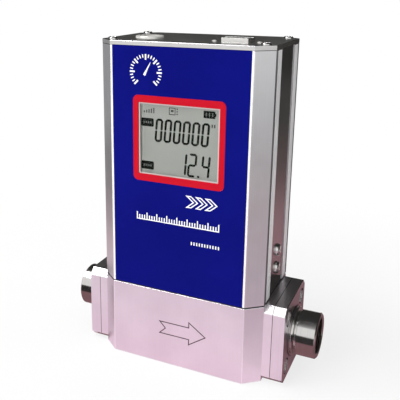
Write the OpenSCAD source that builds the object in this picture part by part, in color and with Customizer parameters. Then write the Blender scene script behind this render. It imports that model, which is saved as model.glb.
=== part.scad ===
// Thermal mass flow meter with a display head.
// A bored flow block carries screwed end plates with short threaded nipples.
// The head on top is two extruded covers and two side panels under a top plate.
// Millimetres, +Z up, flow along +X, front face towards -Y, origin under the middle of the base.

/* [Flow block] */
// Side of the bar's square section, which is also the height of the base
bar_size = 47; // [46:1:56]
// How far the block's bar stands out of the head at each end
block_overhang = 5; // [3:0.5:20]
// Bevel along the four long edges of the bar
bar_bevel = 3.8; // [1:0.1:5]
// Depth of the tapped holes in the block's ends
end_hole_depth = 14; // [8:0.5:18]
// Diameter of the tapped mounting holes in the underside
mount_hole_d = 4.2; // [3.3:0.1:5]
// Depth of the mounting holes
mount_hole_depth = 10; // [6:1:12]
// Distance of the mounting holes from the head's sides
mount_inset_x = 12; // [10:0.5:20]
// Distance of the mounting holes from the head's front and back
mount_inset_y = 9; // [7:0.5:10]

/* [Engraved arrow] */
// Length of the arrow from its tail to its tip
arrow_len = 30; // [20:1:40]
// Length of the arrow's head
arrow_head_len = 11; // [8:0.5:15]
// Height of the arrow's head
arrow_head_h = 15.4; // [12:0.2:24]
// Height of the arrow's shaft
arrow_shaft_h = 8.2; // [5:0.2:11]
// Depth of the notch in the tail
arrow_notch = 4; // [2:0.5:6]
// Width of the engraved line
arrow_line_w = 0.6; // [0.4:0.1:1.5]
// Depth of the engraved line
arrow_depth = 0.4; // [0.2:0.1:1]
// How far the arrow sits downstream of the block's middle
arrow_offset = 4; // [-20:1:20]

/* [End plates] */
// Thickness of an end plate
plate_t = 7; // [6.5:0.5:12]
// Thread diameter of the plate screws
plate_screw_d = 5; // [4:0.5:5]
// Space below the plate screws' tips in their holes
plate_screw_tip_gap = 2; // [1:0.5:4]
// Head diameter of the plate screws
plate_head_d = 8.5; // [7:0.1:8.6]
// Head height of the plate screws
plate_head_h = 3.5; // [2.5:0.1:4]
// Depth of the counterbores that take the heads
plate_head_seat = 4.5; // [4:0.1:5]
// Radial space round a sunk head
plate_head_space = 0.5; // [0.2:0.1:0.6]
// Key size of the plate screws
plate_key_af = 4; // [3:0.5:4.5]
// Depth of the key socket
plate_key_depth = 2; // [1:0.1:2.4]
// Radial space between the nipple's collar and the recess round it
collar_recess_gap = 0.7; // [0.3:0.1:1]
// Depth of the recess round the nipple's collar
collar_recess_depth = 1; // [0.5:0.1:2]

/* [Nipples] */
// Outside diameter of the pipe thread
thread_d = 26.44; // [20.96:0.01:27.5]
// Wall of a nipple under the thread's crests
nipple_wall = 2.72; // [2:0.01:4]
// Length of a nipple outside its plate
nipple_len = 15; // [12:0.5:24]
// How far the collar stands out past the thread
collar_ledge = 1.08; // [0.6:0.01:1.6]
// Width of the collar outside the plate
collar_w = 2.4; // [1:0.1:4]
// Depth of the groove between collar and thread
neck_depth = 1.12; // [0.5:0.01:1.6]
// Width of the groove
neck_w = 1.6; // [1:0.1:3]
// How far the spigot in the plate is set in from the thread
spigot_step = 1.22; // [0.6:0.01:1.6]
// Chamfer at the mouth and on the collar
nipple_chamfer = 0.8; // [0.3:0.1:1.2]

/* [Seals and screens] */
// Wall between a screen's seat and the seal's groove
seal_wall = 1.05; // [0.8:0.05:1.4]
// Width of the plate seals
seal_w = 2; // [1.4:0.1:2.2]
// Thickness of the plate seals
seal_t = 1.5; // [1:0.1:2.5]
// Width of the ledge that a flow screen sits on
screen_ledge = 2.45; // [1.5:0.05:2.7]
// Thickness of the flow screens
screen_t = 1; // [0.6:0.1:1.6]
// Diameter of the screen's holes
screen_hole_d = 1.9; // [1.2:0.1:2]
// Spacing of the screen's holes
screen_hole_pitch = 2.6; // [2.4:0.1:3]
// Thickness of the gasket under the head
gasket_t = 0.8; // [0.5:0.1:1.5]
// Space between the gasket and the brackets
gasket_gap = 0.2; // [0.1:0.1:1]
// How far the gasket stays back from the head's outline
gasket_setback = 0.4; // [0.2:0.1:0.8]

/* [Flow conditioner] */
// Length of the flow conditioner
conditioner_len = 25; // [15:1:30]
// Distance of the conditioner from the inlet end of the block
conditioner_inset = 10; // [6:1:14]
// Diameter of the conditioner's channels
channel_d = 2.4; // [1.8:0.1:2.5]
// Spacing of the conditioner's channels
channel_pitch = 3.1; // [2.9:0.1:3.5]

/* [Sensor] */
// Distance of the sensor downstream of the block's middle
sensor_offset_x = 8; // [4:1:12]
// Rim of the sensor holder's flange outside its screw heads
holder_rim = 0.45; // [0.2:0.05:2]
// Thickness of the flange
holder_flange_t = 4; // [3:0.5:6]
// Diameter of the holder's stem
holder_stem_d = 16; // [14:0.5:16]
// Wall of the neck outside the probes
holder_neck_wall = 1.3; // [0.6:0.1:2]
// Height of the neck
holder_neck_h = 2; // [1:0.5:4]
// Diameter of the two probes
probe_d = 2.4; // [1.6:0.1:3]
// Spacing of the two probes along the flow
probe_pitch = 7; // [5:0.5:8]
// Space between a probe's tip and the bore's far side
probe_tip_gap = 6; // [3:0.5:12]
// Width of the stem seal
stem_seal_w = 2; // [1:0.1:3]
// Thickness of the stem seal
stem_seal_t = 1.4; // [1:0.1:2.5]
// Wall between the stem seal and the holder screws
holder_screw_wall = 0.75; // [0.4:0.05:2]
// Number of holder screws
holder_screw_count = 3; // [3:1:4]
// How far the sensor board stands out past the neck
sensor_board_rim = 2; // [1:0.5:4]

/* [Head] */
// Width of the head
head_w = 100; // [98:1:120]
// Depth of the head, front to back
head_d = 62; // [60:1:76]
// Height of the covers
head_h = 140; // [136:1:170]
// Width of the chamfers at the head's corners, seen from the front
head_chamfer_w = 9; // [7:0.5:12]
// Wall of the covers
cover_wall = 2.5; // [2.3:0.1:3.5]
// Width of the groove beside each corner
corner_groove_w = 2.2; // [1:0.1:2.6]
// Depth of the corner groove
corner_groove_depth = 1.1; // [0.5:0.1:1.4]
// Distance of the groove from the corner
corner_groove_inset = 0.4; // [0.2:0.1:0.6]
// Diameter of the screw ports in the corners
port_d = 6.4; // [5.4:0.1:6.8]
// Distance of a screw port from the side face
port_inset_x = 6; // [5:0.1:7]
// Distance of a screw port from the front or back face
port_inset_y = 9; // [8:0.1:9.6]

/* [Side panels] */
// Depth of each cover's sides, from its face to its edge at the panel
cover_side_w = 18; // [17.2:0.1:20]
// Thickness of a side panel's edges, which slide in the covers
panel_t = 2; // [1.5:0.1:2.5]
// How far the raised middle of a panel stays behind the covers' sides
panel_setback = 0.4; // [0.1:0.1:1.5]
// Space between the raised middle and the covers' edges
panel_gap = 0.2; // [0.1:0.05:1]
// How far a panel reaches behind each cover's edge
panel_overlap = 3; // [2:0.1:3.2]
// Thickness of the lips that hold a panel
lip_t = 1.5; // [1:0.1:2]
// Thickness of the web behind a lip
web_t = 1.6; // [1:0.1:1.8]
// Height of the lower side screw above the block
side_screw_inset_z = 14; // [10:1:20]
// Distance between the two side screws
side_screw_pitch = 11; // [9:1:14]
// Thread diameter of the side screws
side_screw_d = 4; // [3:0.5:5]
// Head diameter of the side screws
side_head_d = 7.2; // [6:0.1:8]
// Head height of the side screws
side_head_h = 2; // [1:0.1:2.4]
// Length of side screw past the bracket
side_screw_tail = 2; // [1:0.5:4]

/* [Brackets] */
// Thickness of the brackets inside the head
bracket_t = 2; // [1.5:0.5:3]
// Space between a bracket and the covers' edges
bracket_gap = 3; // [1:0.5:6]
// Height of a bracket above its upper screw
bracket_top_h = 7; // [4:0.5:12]
// Length of a bracket's foot
bracket_foot_len = 12; // [10:0.5:14]
// Metal left between the bore and the tapped holes above it
top_hole_floor = 4; // [2:0.5:6]
// Space below the tips of the screws in those holes
top_screw_tip_gap = 1; // [0.5:0.5:3]

/* [Top plate] */
// Thickness of the top plate
top_plate_t = 2.5; // [2:0.1:4]
// Thread diameter of the small machine screws
small_screw_d = 3; // [2.5:0.1:3]
// Head diameter of the small machine screws
small_head_d = 5.6; // [5:0.1:5.8]
// Head height of the small machine screws
small_head_h = 1.2; // [1:0.1:2.5]
// Key size of the small machine screws
small_key_af = 2; // [1.5:0.1:2.5]
// Length of top screw held in a port
top_screw_grip_len = 10; // [6:1:16]

/* [Display] */
// Distance of the display's middle below the top of the covers
display_inset_z = 50.8; // [46:0.1:60]
// Space between the front label's edge and the edge of the flat front
label_margin = 1.5; // [0.5:0.1:3]
// Space between the label's edge and the red frame
frame_inset_x = 12.5; // [10:0.5:15]
// Height of the red frame
frame_h = 48.5; // [42:0.5:56]
// Width of the red frame's upright bars
frame_side_w = 3.25; // [2.5:0.05:5]
// Width of the red frame's level bars
frame_bar_w = 4; // [3:0.1:6]
// Corner radius of the red frame
frame_corner_r = 3; // [1:0.5:5]
// Thickness of the red frame
frame_t = 0.6; // [0.5:0.1:0.7]
// Thickness of the clear window
glass_t = 1.2; // [0.6:0.1:1.2]
// How far the opening behind the window reaches past the frame's inner edge
opening_margin = 1; // [0.2:0.1:1.4]
// Thickness of the front label
label_t = 0.4; // [0.2:0.1:0.5]
// How far the display cell reaches past the opening
lcd_margin = 2.45; // [1:0.05:3]
// Thickness of the display cell
lcd_t = 2.8; // [1.5:0.1:3]
// Thickness of the backlight behind the cell
backlight_t = 1.6; // [1:0.1:2.5]
// Metal thickness of the display bezel
bezel_t = 0.6; // [0.4:0.1:1]
// Space between the display board and the screw ports
lcd_board_gap = 4.8; // [1:0.1:6]
// How far the display board stands out above and below the cell
lcd_board_rim = 3.3; // [2:0.1:6]
// Inset of the display board's holes from its edges
lcd_hole_inset = 3.5; // [2.6:0.1:4]
// Thread diameter of the display screws
lcd_screw_d = 2; // [1.6:0.1:2.5]
// Head diameter of the display screws
lcd_head_d = 4; // [3.5:0.1:4.5]
// Head height of the display screws
lcd_head_h = 1.5; // [1:0.1:2]

/* [Main board] */
// Thickness of the circuit boards
board_t = 1.6; // [1:0.1:2.4]
// Space between the main board and the screw ports
main_board_gap = 5.8; // [1:0.1:7]
// Height of the main board's lower edge above the block
main_board_inset_z = 33; // [28:1:36]
// Distance of the main board's upper edge below the top of the covers
main_board_drop_h = 23.8; // [18:0.1:30]
// Height of the supply headers' tops below the board's upper edge
supply_header_drop_h = 15.1; // [12:0.1:18]
// Height of the display header above the battery holder
display_header_gap = 5; // [2:0.5:8]
// Length of the main board's standoffs
standoff_len = 6; // [5:0.5:7]
// Diameter of the standoffs
standoff_d = 5; // [4.5:0.1:5.5]
// Inset of the main board's holes from its edges
main_hole_inset = 4; // [3:0.5:5]
// Depth of a board header
header_t = 3; // [2:0.5:4]
// Height of a board header
header_h = 3; // [2:0.5:3.5]
// Width of a ribbon cable
ribbon_w = 10; // [6:1:12]
// Thickness of a ribbon cable
ribbon_t = 0.8; // [0.5:0.1:1.2]

/* [Battery] */
// Diameter of the battery cell
cell_d = 14.5; // [12:0.5:15]
// Length of the battery cell
cell_len = 50.5; // [44:0.5:52]
// Height of the button at the cell's end
cell_button_h = 1; // [0.5:0.1:2]
// Diameter of the button at the cell's end
cell_button_d = 5; // [3:0.5:7]
// Thickness of the battery contacts
contact_t = 0.5; // [0.3:0.1:1]
// Wall of the battery holder
holder_wall = 2; // [1.5:0.1:2.2]
// Space between the battery holder and the board's lower screws
holder_gap = 0.5; // [0.3:0.1:3]

/* [Power socket] */
// Distance of the power socket from the head's left side
socket_inset_x = 22; // [21:1:24]
// Distance of the power socket from the head's front
socket_inset_y = 23; // [20:1:27]
// How far the socket's rim stands out past its body
socket_rim_w = 1.1; // [0.6:0.1:2]
// Height of the socket's rim above the plate
socket_rim_h = 1.2; // [0.8:0.1:3]
// Diameter of the socket's threaded body
socket_body_d = 13.8; // [13:0.2:14]
// Length of the socket below the plate's top
socket_body_len = 12; // [11:0.5:14]
// Wall of the socket's body
socket_wall = 1.15; // [0.8:0.05:1.6]
// Depth of the insert below the rim
socket_insert_sink = 1.4; // [0.5:0.1:1.6]
// Lip that holds the insert
socket_lip = 1; // [0.6:0.1:1.5]
// Least wall of the socket's nut
socket_nut_wall = 1.55; // [1:0.05:3]
// Thickness of the socket's nut
socket_nut_t = 3; // [2:0.5:4]
// Diameter of a socket contact
socket_pin_d = 1.6; // [1:0.1:1.8]
// Diameter of the circle of contacts
socket_pin_pcd = 6; // [5:0.2:7]
// Number of socket contacts
socket_pin_count = 4; // [3:1:5]

/* [Data port] */
// Space between the data port's flange and the screw port
data_gap = 0.4; // [0.3:0.1:3]
// Distance of the data port from the head's front
data_inset_y = 17; // [14:0.5:22]
// Width of the port's metal shell
data_shell_w = 16.9; // [16:0.1:17.5]
// Depth of the port's metal shell
data_shell_d = 8.4; // [8:0.1:9]
// Height of the shell above the plate
data_shell_h = 2.4; // [2:0.1:4]
// Metal thickness of the shell
data_shell_t = 0.5; // [0.4:0.1:0.8]
// How much narrower the shell is at its front
data_taper = 2.2; // [1:0.1:3]
// How far the port's flange reaches past its screws
data_flange_end_w = 1.9; // [1.7:0.1:3]
// How far the port's flange reaches past the shell's long sides
data_flange_side_w = 2.05; // [1:0.05:3]
// Thickness of the port's flange
data_flange_t = 1; // [0.6:0.1:1.5]
// Corner radius of the port's flange
data_flange_r = 3; // [2.5:0.1:4]
// Length of the insert below the plate
data_insert_len = 9; // [6:0.5:12]
// Spacing of the port's screws
data_screw_pitch = 25; // [24.5:0.1:25.5]
// Head diameter of the port's screws
data_head_d = 3.6; // [3.4:0.1:5]
// Head height of the port's screws
data_head_h = 0.8; // [0.6:0.1:1.6]
// Spacing of the contacts in a row
data_pin_pitch = 2.77; // [2.6:0.01:2.8]
// Spacing of the two rows of contacts
data_row_pitch = 2.84; // [2.7:0.01:3]
// Diameter of a contact
data_pin_d = 1; // [0.6:0.1:1.2]

/* [Hidden] */

// Radial space between a turned part or screw and its hole
fit_clear = 0.05;
// Space at each side of a part that slides or drops into place
slide_clear = 0.1;
// Space round a loose electrical part
loose_clear = 0.2;
// Extra length of every cut
overrun = 1;
round_fn = 72;
small_fn = 36;

// Nipples and their seats
flow_bore_d = thread_d - 2 * nipple_wall;
neck_d = thread_d - 2 * neck_depth;
spigot_d = thread_d - 2 * spigot_step;
collar_d = thread_d + 2 * collar_ledge;
collar_recess_d = collar_d + 2 * collar_recess_gap;
screen_d = flow_bore_d + 2 * screen_ledge;
seal_in_d = screen_d + 2 * seal_wall;
seal_out_d = seal_in_d + 2 * seal_w;

// The plate screws stand between the collar's recess and the bevels, at this share of the way
plate_screw_share = 0.4;
bevel_reach = (bar_size - bar_bevel) / sqrt(2);
plate_screw_reach = collar_recess_d / 2
    + plate_screw_share * (bevel_reach - collar_recess_d / 2);
plate_screw_pitch = sqrt(2) * plate_screw_reach;
plate_screw_grip = end_hole_depth - plate_screw_tip_gap;

// Block and head, measured from their middle
block_len = head_w + 2 * block_overhang;
head_flat_w = head_w - 2 * head_chamfer_w;
chamfer_y = (head_d - bar_size) / 2;
front_y = head_d / 2;
inner_y = front_y - cover_wall;
inner_x = head_w / 2 - cover_wall;
panel_x = inner_x - slide_clear - panel_t;
panel_face_x = head_w / 2 - panel_setback;
panel_show_w = head_d - 2 * cover_side_w;
panel_edge = panel_show_w / 2 + panel_overlap;
port_x = head_w / 2 - port_inset_x;
port_y = front_y - port_inset_y;
gasket_w = head_w / 2 - gasket_setback - panel_x - gasket_gap;

// Heights
block_top = bar_size;
flow_z = bar_size / 2;
head_z = block_top + gasket_t;
head_top = head_z + head_h;
plate_top = head_top + top_plate_t;
display_z = head_top - display_inset_z;
main_board_z = block_top + main_board_inset_z;

// Tapped holes in the block's top, and the brackets on it
top_hole_depth = (bar_size - flow_bore_d) / 2 - top_hole_floor;
top_screw_grip = top_hole_depth - top_screw_tip_gap;
bracket_w = panel_show_w - 2 * bracket_gap;
bracket_h = side_screw_inset_z + side_screw_pitch + bracket_top_h;

// Sensor
sensor_x = sensor_offset_x;
stem_len = (bar_size - flow_bore_d) / 2;
stem_seal_d = holder_stem_d + 2 * stem_seal_w;
holder_screw_pcd = stem_seal_d + small_screw_d + 2 * holder_screw_wall;
holder_flange_d = holder_screw_pcd + small_head_d + 2 * holder_rim;
holder_neck_d = probe_pitch + probe_d + 2 * holder_neck_wall;
sensor_board_d = holder_neck_d + 2 * sensor_board_rim;
sensor_board_z = block_top + holder_flange_t + holder_neck_h;
probe_reach = flow_bore_d - probe_tip_gap;

// Display, from the label's edges inwards
label_w = head_flat_w - 2 * label_margin;
frame_w = label_w - 2 * frame_inset_x;
window_w = frame_w - 2 * frame_side_w;
window_h = frame_h - 2 * frame_bar_w;
opening_w = window_w + 2 * opening_margin;
opening_h = window_h + 2 * opening_margin;
lcd_w = opening_w + 2 * lcd_margin;
lcd_h = opening_h + 2 * lcd_margin;
lcd_board_w = 2 * (port_x - port_d / 2 - lcd_board_gap);
lcd_board_h = lcd_h + 2 * lcd_board_rim;
lcd_hole_x = lcd_board_w / 2 - lcd_hole_inset;
lcd_hole_z = lcd_board_h / 2 - lcd_hole_inset;

// Display stack, front to back
bezel_depth = bezel_t + lcd_t + backlight_t;
lcd_board_front = inner_y - bezel_depth;
lcd_board_back = lcd_board_front - board_t;

// Main board and the battery on it
main_board_w = 2 * (port_x - port_d / 2 - main_board_gap);
main_board_h = head_top - main_board_drop_h - main_board_z;
main_hole_x = main_board_w / 2 - main_hole_inset;
main_back_y = inner_y - standoff_len;
main_front_y = main_back_y - board_t;
header_face_y = main_front_y - header_t;
holder_z = main_board_z + main_hole_inset + small_head_d / 2 + holder_gap;
holder_h = cell_d + 2 * (loose_clear + holder_wall);
holder_len = cell_len + 2 * (contact_t + loose_clear);
cell_y = main_front_y - holder_wall - loose_clear - cell_d / 2;
cell_z = holder_z + holder_h / 2;

// Headers: the tops of the supply and sensor headers, the lower faces of the others
supply_header_z = main_board_z + main_board_h - supply_header_drop_h;
sensor_header_z = main_board_z + header_h;
display_header_z = holder_z + holder_h + display_header_gap;
// Place of the header on the display board as a share of its height above its lower edge
lcd_header_share = 0.16;
lcd_header_z = display_z - lcd_board_h / 2 + lcd_header_share * lcd_board_h;
// Distance of the sensor header behind the middle of its board
sensor_header_y = 4;

// Width, height and thickness of each chip on the main board
chip_sizes = [[12, 12, 1.6], [10, 6, 1.8], [6, 5, 1.4]];
// Their places as shares of the board's width and of its height above the display header
chip_place_shares = [[-0.1, 0.28], [0.1, 0.28], [0.1, 0.52]];
// Diameter and height of each capacitor, with their places in the same shares
capacitor_sizes = [[8, 9], [8, 9]];
capacitor_place_shares = [[-0.1, 0.75], [0.1, 0.75]];
// Width, depth and thickness of the chip on the sensor board
sensor_chip_size = [5, 5, 1.2];

// Power socket
socket_x = socket_inset_x - head_w / 2;
socket_y = socket_inset_y - front_y;
socket_bore_d = socket_body_d - 2 * socket_wall;
socket_insert_d = socket_bore_d - 2 * fit_clear;
socket_rim_d = socket_body_d + 2 * socket_rim_w;
socket_nut_af = socket_body_d + 2 * (fit_clear + socket_nut_wall);
socket_bottom = plate_top - socket_body_len;

// Data port
data_flange_w = data_screw_pitch + 2 * data_flange_end_w;
data_flange_d = data_shell_d + 2 * data_flange_side_w;
data_x = port_x - port_d / 2 - data_gap - data_flange_w / 2;
data_y = data_inset_y - front_y;
data_insert_z = head_top - data_insert_len;
// Number of contacts in the data port's two rows
data_rows = [4, 5];

// Steps along a ribbon's curve
ribbon_steps = 20;

// The line through p and q, moved to its left by t, as a point and a direction
function moved_line(p, q, t) =
    let (u = (q - p) / norm(q - p))
    [p + t * [-u[1], u[0]], u];

// Where two such lines meet
function meet(a, b) = a[0] + a[1] * cross(b[0] - a[0], b[1]) / cross(a[1], b[1]);

// An outline that runs anticlockwise, drawn in by t on every side
function drawn_in(points, t) =
    let (n = len(points))
    [for (i = [0:n - 1])
        let (p = points[(i + n - 1) % n], q = points[i], r = points[(i + 1) % n])
        meet(moved_line(p, q, t), moved_line(q, r, t))];

// A rectangle with all four corners cut off, anticlockwise
function cut_corners(w, h, cw, ch) = [
    [w / 2, ch - h / 2], [w / 2, h / 2 - ch], [w / 2 - cw, h / 2], [cw - w / 2, h / 2],
    [-w / 2, h / 2 - ch], [-w / 2, ch - h / 2], [cw - w / 2, -h / 2], [w / 2 - cw, -h / 2]];

function head_outline() = cut_corners(head_w, head_d, head_chamfer_w, chamfer_y);

// A swallow-tailed arrow that points along +X
function arrow_outline() = [
    [-arrow_len / 2, -arrow_shaft_h / 2],
    [arrow_len / 2 - arrow_head_len, -arrow_shaft_h / 2],
    [arrow_len / 2 - arrow_head_len, -arrow_head_h / 2],
    [arrow_len / 2, 0],
    [arrow_len / 2 - arrow_head_len, arrow_head_h / 2],
    [arrow_len / 2 - arrow_head_len, arrow_shaft_h / 2],
    [-arrow_len / 2, arrow_shaft_h / 2],
    [arrow_notch - arrow_len / 2, 0]];

// Centres of a triangular grid of holes that fit inside a circle
function hole_grid(pitch, hole_d, inside_d) =
    let (n = ceil(inside_d / pitch), row = pitch * sqrt(3) / 2)
    [for (j = [-n:n], i = [-n:n])
        let (p = [pitch * i + (j % 2 == 0 ? 0 : pitch / 2), row * j])
        if (norm(p) < (inside_d - hole_d - pitch / 4) / 2) p];

// A smooth step from 0 to 1
function ease(t) = (1 - cos(180 * t)) / 2;

// A ribbon's middle line from a to b in the Y-Z plane, leaving and arriving upright or level
function ribbon_line(a, b, upright) = [for (i = [0:ribbon_steps])
    let (t = i / ribbon_steps)
    upright ? [a[0] + (b[0] - a[0]) * ease(t), a[1] + (b[1] - a[1]) * t]
        : [a[0] + (b[0] - a[0]) * t, a[1] + (b[1] - a[1]) * ease(t)]];

// The outline of a ribbon of thickness t round its middle line
function ribbon_outline(line, t, upright) =
    let (n = len(line) - 1,
        ahead = upright ? [0, sign(line[n][1] - line[0][1])] : [sign(line[n][0] - line[0][0]), 0],
        side = [for (i = [0:n])
            let (u = i == 0 || i == n ? ahead : line[i + 1] - line[i - 1], v = u / norm(u))
            [-v[1], v[0]] * t / 2])
    concat([for (i = [0:n]) line[i] - side[i]], [for (i = [n:-1:0]) line[i] + side[i]]);

// Extrudes a shape drawn in Y and Z along +X
module along_x(length) {
    rotate([90, 0, 90])
        linear_extrude(length)
            children();
}

// Extrudes a shape drawn in X and Z towards -Y
module towards_front(length) {
    rotate([90, 0, 0])
        linear_extrude(length)
            children();
}

module round_rect(w, h, r) {
    square([w - 2 * r, h], center = true);
    square([w, h - 2 * r], center = true);
    for (x = [-1, 1], z = [-1, 1])
        translate([x * (w / 2 - r), z * (h / 2 - r)])
            circle(r, $fn = small_fn);
}

// Copies at the four corners of a rectangle in X and Y
module at_corners(dx, dy) {
    for (x = [-1, 1], y = [-1, 1])
        translate([x * dx, y * dy, 0])
            children();
}

// Copies at the four corners of a rectangle in X and Z
module at_board_holes(dx, dz) {
    for (x = [-1, 1], z = [-1, 1])
        translate([x * dx, 0, z * dz])
            children();
}

// A socket-headed screw with its head up and its seat at zero
module screw(d, length, head_d, head_h, key_af, key_depth) {
    translate([0, 0, -length])
        cylinder(h = length, d = d, $fn = small_fn);
    difference() {
        cylinder(h = head_h, d = head_d, $fn = small_fn);
        translate([0, 0, head_h - key_depth])
            cylinder(h = key_depth + overrun, d = key_af / cos(30), $fn = 6);
    }
}

module small_screw(length) {
    screw(small_screw_d, length, small_head_d, small_head_h, small_key_af, small_head_h / 2);
}

// A board header with its wired face towards the reader of the board
module header(w) {
    translate([-w / 2, 0, 0])
        cube([w, header_t, header_h]);
}

// Flow block

// The screw places of an end plate, on a face across the flow
module at_plate_screws() {
    for (y = [-1, 1], z = [-1, 1])
        translate([0, y * plate_screw_pitch / 2, flow_z + z * plate_screw_pitch / 2])
            children();
}

// A round cut or boss along the flow, from x to x plus length
module flow_cylinder(x, length, d) {
    translate([x, 0, flow_z])
        rotate([0, 90, 0])
            cylinder(h = length, d = d, $fn = round_fn);
}

module bar_section() {
    polygon(cut_corners(bar_size, bar_size, bar_bevel, bar_bevel));
}

module block_end_cuts() {
    flow_cylinder(block_len / 2 - screen_t, screen_t + overrun, screen_d + 2 * fit_clear);
    difference() {
        flow_cylinder(block_len / 2 - seal_t, seal_t + overrun, seal_out_d + 2 * fit_clear);
        flow_cylinder(block_len / 2 - seal_t - overrun, seal_t + 3 * overrun,
            seal_in_d - 2 * fit_clear);
    }
    at_plate_screws()
        translate([block_len / 2 - end_hole_depth, 0, 0])
            rotate([0, 90, 0])
                cylinder(h = end_hole_depth + overrun, d = plate_screw_d + 2 * fit_clear,
                    $fn = small_fn);
}

module engraved_arrow() {
    translate([arrow_offset, arrow_depth - front_y, flow_z])
        towards_front(arrow_depth + overrun)
            difference() {
                polygon(arrow_outline());
                polygon(drawn_in(arrow_outline(), arrow_line_w));
            }
}

module at_holder_screws() {
    for (i = [0:holder_screw_count - 1])
        translate([sensor_x, 0, block_top])
            rotate([0, 0, 90 + 360 * i / holder_screw_count])
                translate([holder_screw_pcd / 2, 0, 0])
                    children();
}

// The middle of the right bracket's foot, clear of its leg
module at_foot_screw() {
    translate([panel_x - (bracket_foot_len + bracket_t) / 2, 0, block_top])
        children();
}

module at_side_screws() {
    for (z = [0, side_screw_pitch])
        translate([0, 0, block_top + side_screw_inset_z + z])
            rotate([0, 90, 0])
                children();
}

// What is drawn on the right, on both sides
module on_both_sides() {
    children();
    mirror([1, 0, 0])
        children();
}

module tapped_hole(d, depth) {
    translate([0, 0, -depth])
        cylinder(h = depth + overrun, d = d + 2 * fit_clear, $fn = small_fn);
}

module flow_body() {
    color([0.80, 0.78, 0.80])
        difference() {
            union() {
                translate([-block_len / 2, 0, flow_z])
                    along_x(block_len)
                        bar_section();
                linear_extrude(block_top)
                    polygon(head_outline());
            }
            flow_cylinder(-block_len / 2 - overrun, block_len + 2 * overrun, flow_bore_d);
            on_both_sides()
                block_end_cuts();
            translate([sensor_x, 0, flow_z])
                cylinder(h = flow_z + overrun, d = holder_stem_d + 2 * fit_clear, $fn = round_fn);
            translate([sensor_x, 0, block_top - stem_seal_t])
                cylinder(h = stem_seal_t + overrun, d = stem_seal_d + 2 * fit_clear,
                    $fn = round_fn);
            at_holder_screws()
                tapped_hole(small_screw_d, top_hole_depth);
            on_both_sides()
                at_foot_screw()
                    tapped_hole(side_screw_d, top_hole_depth);
            at_corners(head_w / 2 - mount_inset_x, front_y - mount_inset_y)
                translate([0, 0, -overrun])
                    cylinder(h = mount_hole_depth + overrun, d = mount_hole_d, $fn = small_fn);
            engraved_arrow();
        }
}

// End plates and nipples, modelled at the outlet and mirrored for the inlet

module end_plate() {
    color([0.79, 0.77, 0.79])
        difference() {
            translate([block_len / 2, 0, flow_z])
                along_x(plate_t)
                    bar_section();
            flow_cylinder(block_len / 2 - overrun, plate_t + 2 * overrun,
                spigot_d + 2 * fit_clear);
            flow_cylinder(block_len / 2 + plate_t - collar_recess_depth,
                collar_recess_depth + overrun, collar_recess_d);
            at_plate_screws()
                translate([block_len / 2 - overrun, 0, 0])
                    rotate([0, 90, 0])
                        cylinder(h = plate_t + 2 * overrun, d = plate_screw_d + 2 * fit_clear,
                            $fn = small_fn);
            at_plate_screws()
                translate([block_len / 2 + plate_t - plate_head_seat, 0, 0])
                    rotate([0, 90, 0])
                        cylinder(h = plate_head_seat + overrun,
                            d = plate_head_d + 2 * plate_head_space, $fn = small_fn);
        }
}

// Half section of a nipple: distance from the bore's middle, distance from the block
function nipple_section() =
    let (seat = plate_t - collar_recess_depth, collar_end = plate_t + collar_w,
        thread_start = collar_end + neck_w, mouth = plate_t + nipple_len)
    [[flow_bore_d / 2, 0], [spigot_d / 2, 0], [spigot_d / 2, seat], [collar_d / 2, seat],
        [collar_d / 2, collar_end - nipple_chamfer], [collar_d / 2 - nipple_chamfer, collar_end],
        [neck_d / 2, collar_end], [neck_d / 2, thread_start], [thread_d / 2, thread_start],
        [thread_d / 2, mouth - nipple_chamfer], [thread_d / 2 - nipple_chamfer, mouth],
        [flow_bore_d / 2, mouth]];

module nipple() {
    color([0.72, 0.71, 0.70])
        translate([block_len / 2, 0, flow_z])
            rotate([0, 90, 0])
                rotate_extrude($fn = round_fn)
                    polygon(nipple_section());
}

module plate_seal() {
    color([0.10, 0.10, 0.11])
        difference() {
            flow_cylinder(block_len / 2 - seal_t, seal_t, seal_out_d);
            flow_cylinder(block_len / 2 - seal_t - overrun, seal_t + 2 * overrun, seal_in_d);
        }
}

module screen() {
    color([0.66, 0.66, 0.67])
        translate([block_len / 2 - screen_t, 0, flow_z])
            rotate([0, 90, 0])
                difference() {
                    cylinder(h = screen_t, d = screen_d, $fn = round_fn);
                    for (p = hole_grid(screen_hole_pitch, screen_hole_d, flow_bore_d))
                        translate([p[0], p[1], -overrun])
                            cylinder(h = screen_t + 2 * overrun, d = screen_hole_d, $fn = 16);
                }
}

module plate_screws() {
    color([0.35, 0.35, 0.37])
        at_plate_screws()
            translate([block_len / 2 + plate_t - plate_head_seat, 0, 0])
                rotate([0, 90, 0])
                    screw(plate_screw_d, plate_t - plate_head_seat + plate_screw_grip,
                        plate_head_d, plate_head_h, plate_key_af, plate_key_depth);
}

module outlet_end_plate() {
    end_plate();
}

module inlet_end_plate() {
    mirror([1, 0, 0])
        end_plate();
}

module outlet_nipple() {
    nipple();
}

module inlet_nipple() {
    mirror([1, 0, 0])
        nipple();
}

module outlet_plate_seal() {
    plate_seal();
}

module inlet_plate_seal() {
    mirror([1, 0, 0])
        plate_seal();
}

module outlet_screen() {
    screen();
}

module inlet_screen() {
    mirror([1, 0, 0])
        screen();
}

module outlet_plate_screws() {
    plate_screws();
}

module inlet_plate_screws() {
    mirror([1, 0, 0])
        plate_screws();
}

module flow_conditioner() {
    color([0.70, 0.70, 0.68])
        translate([conditioner_inset - block_len / 2, 0, flow_z])
            rotate([0, 90, 0])
                difference() {
                    cylinder(h = conditioner_len, d = flow_bore_d - 2 * fit_clear,
                        $fn = round_fn);
                    for (p = hole_grid(channel_pitch, channel_d, flow_bore_d))
                        translate([p[0], p[1], -overrun])
                            cylinder(h = conditioner_len + 2 * overrun, d = channel_d, $fn = 16);
                }
}

// Sensor

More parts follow.
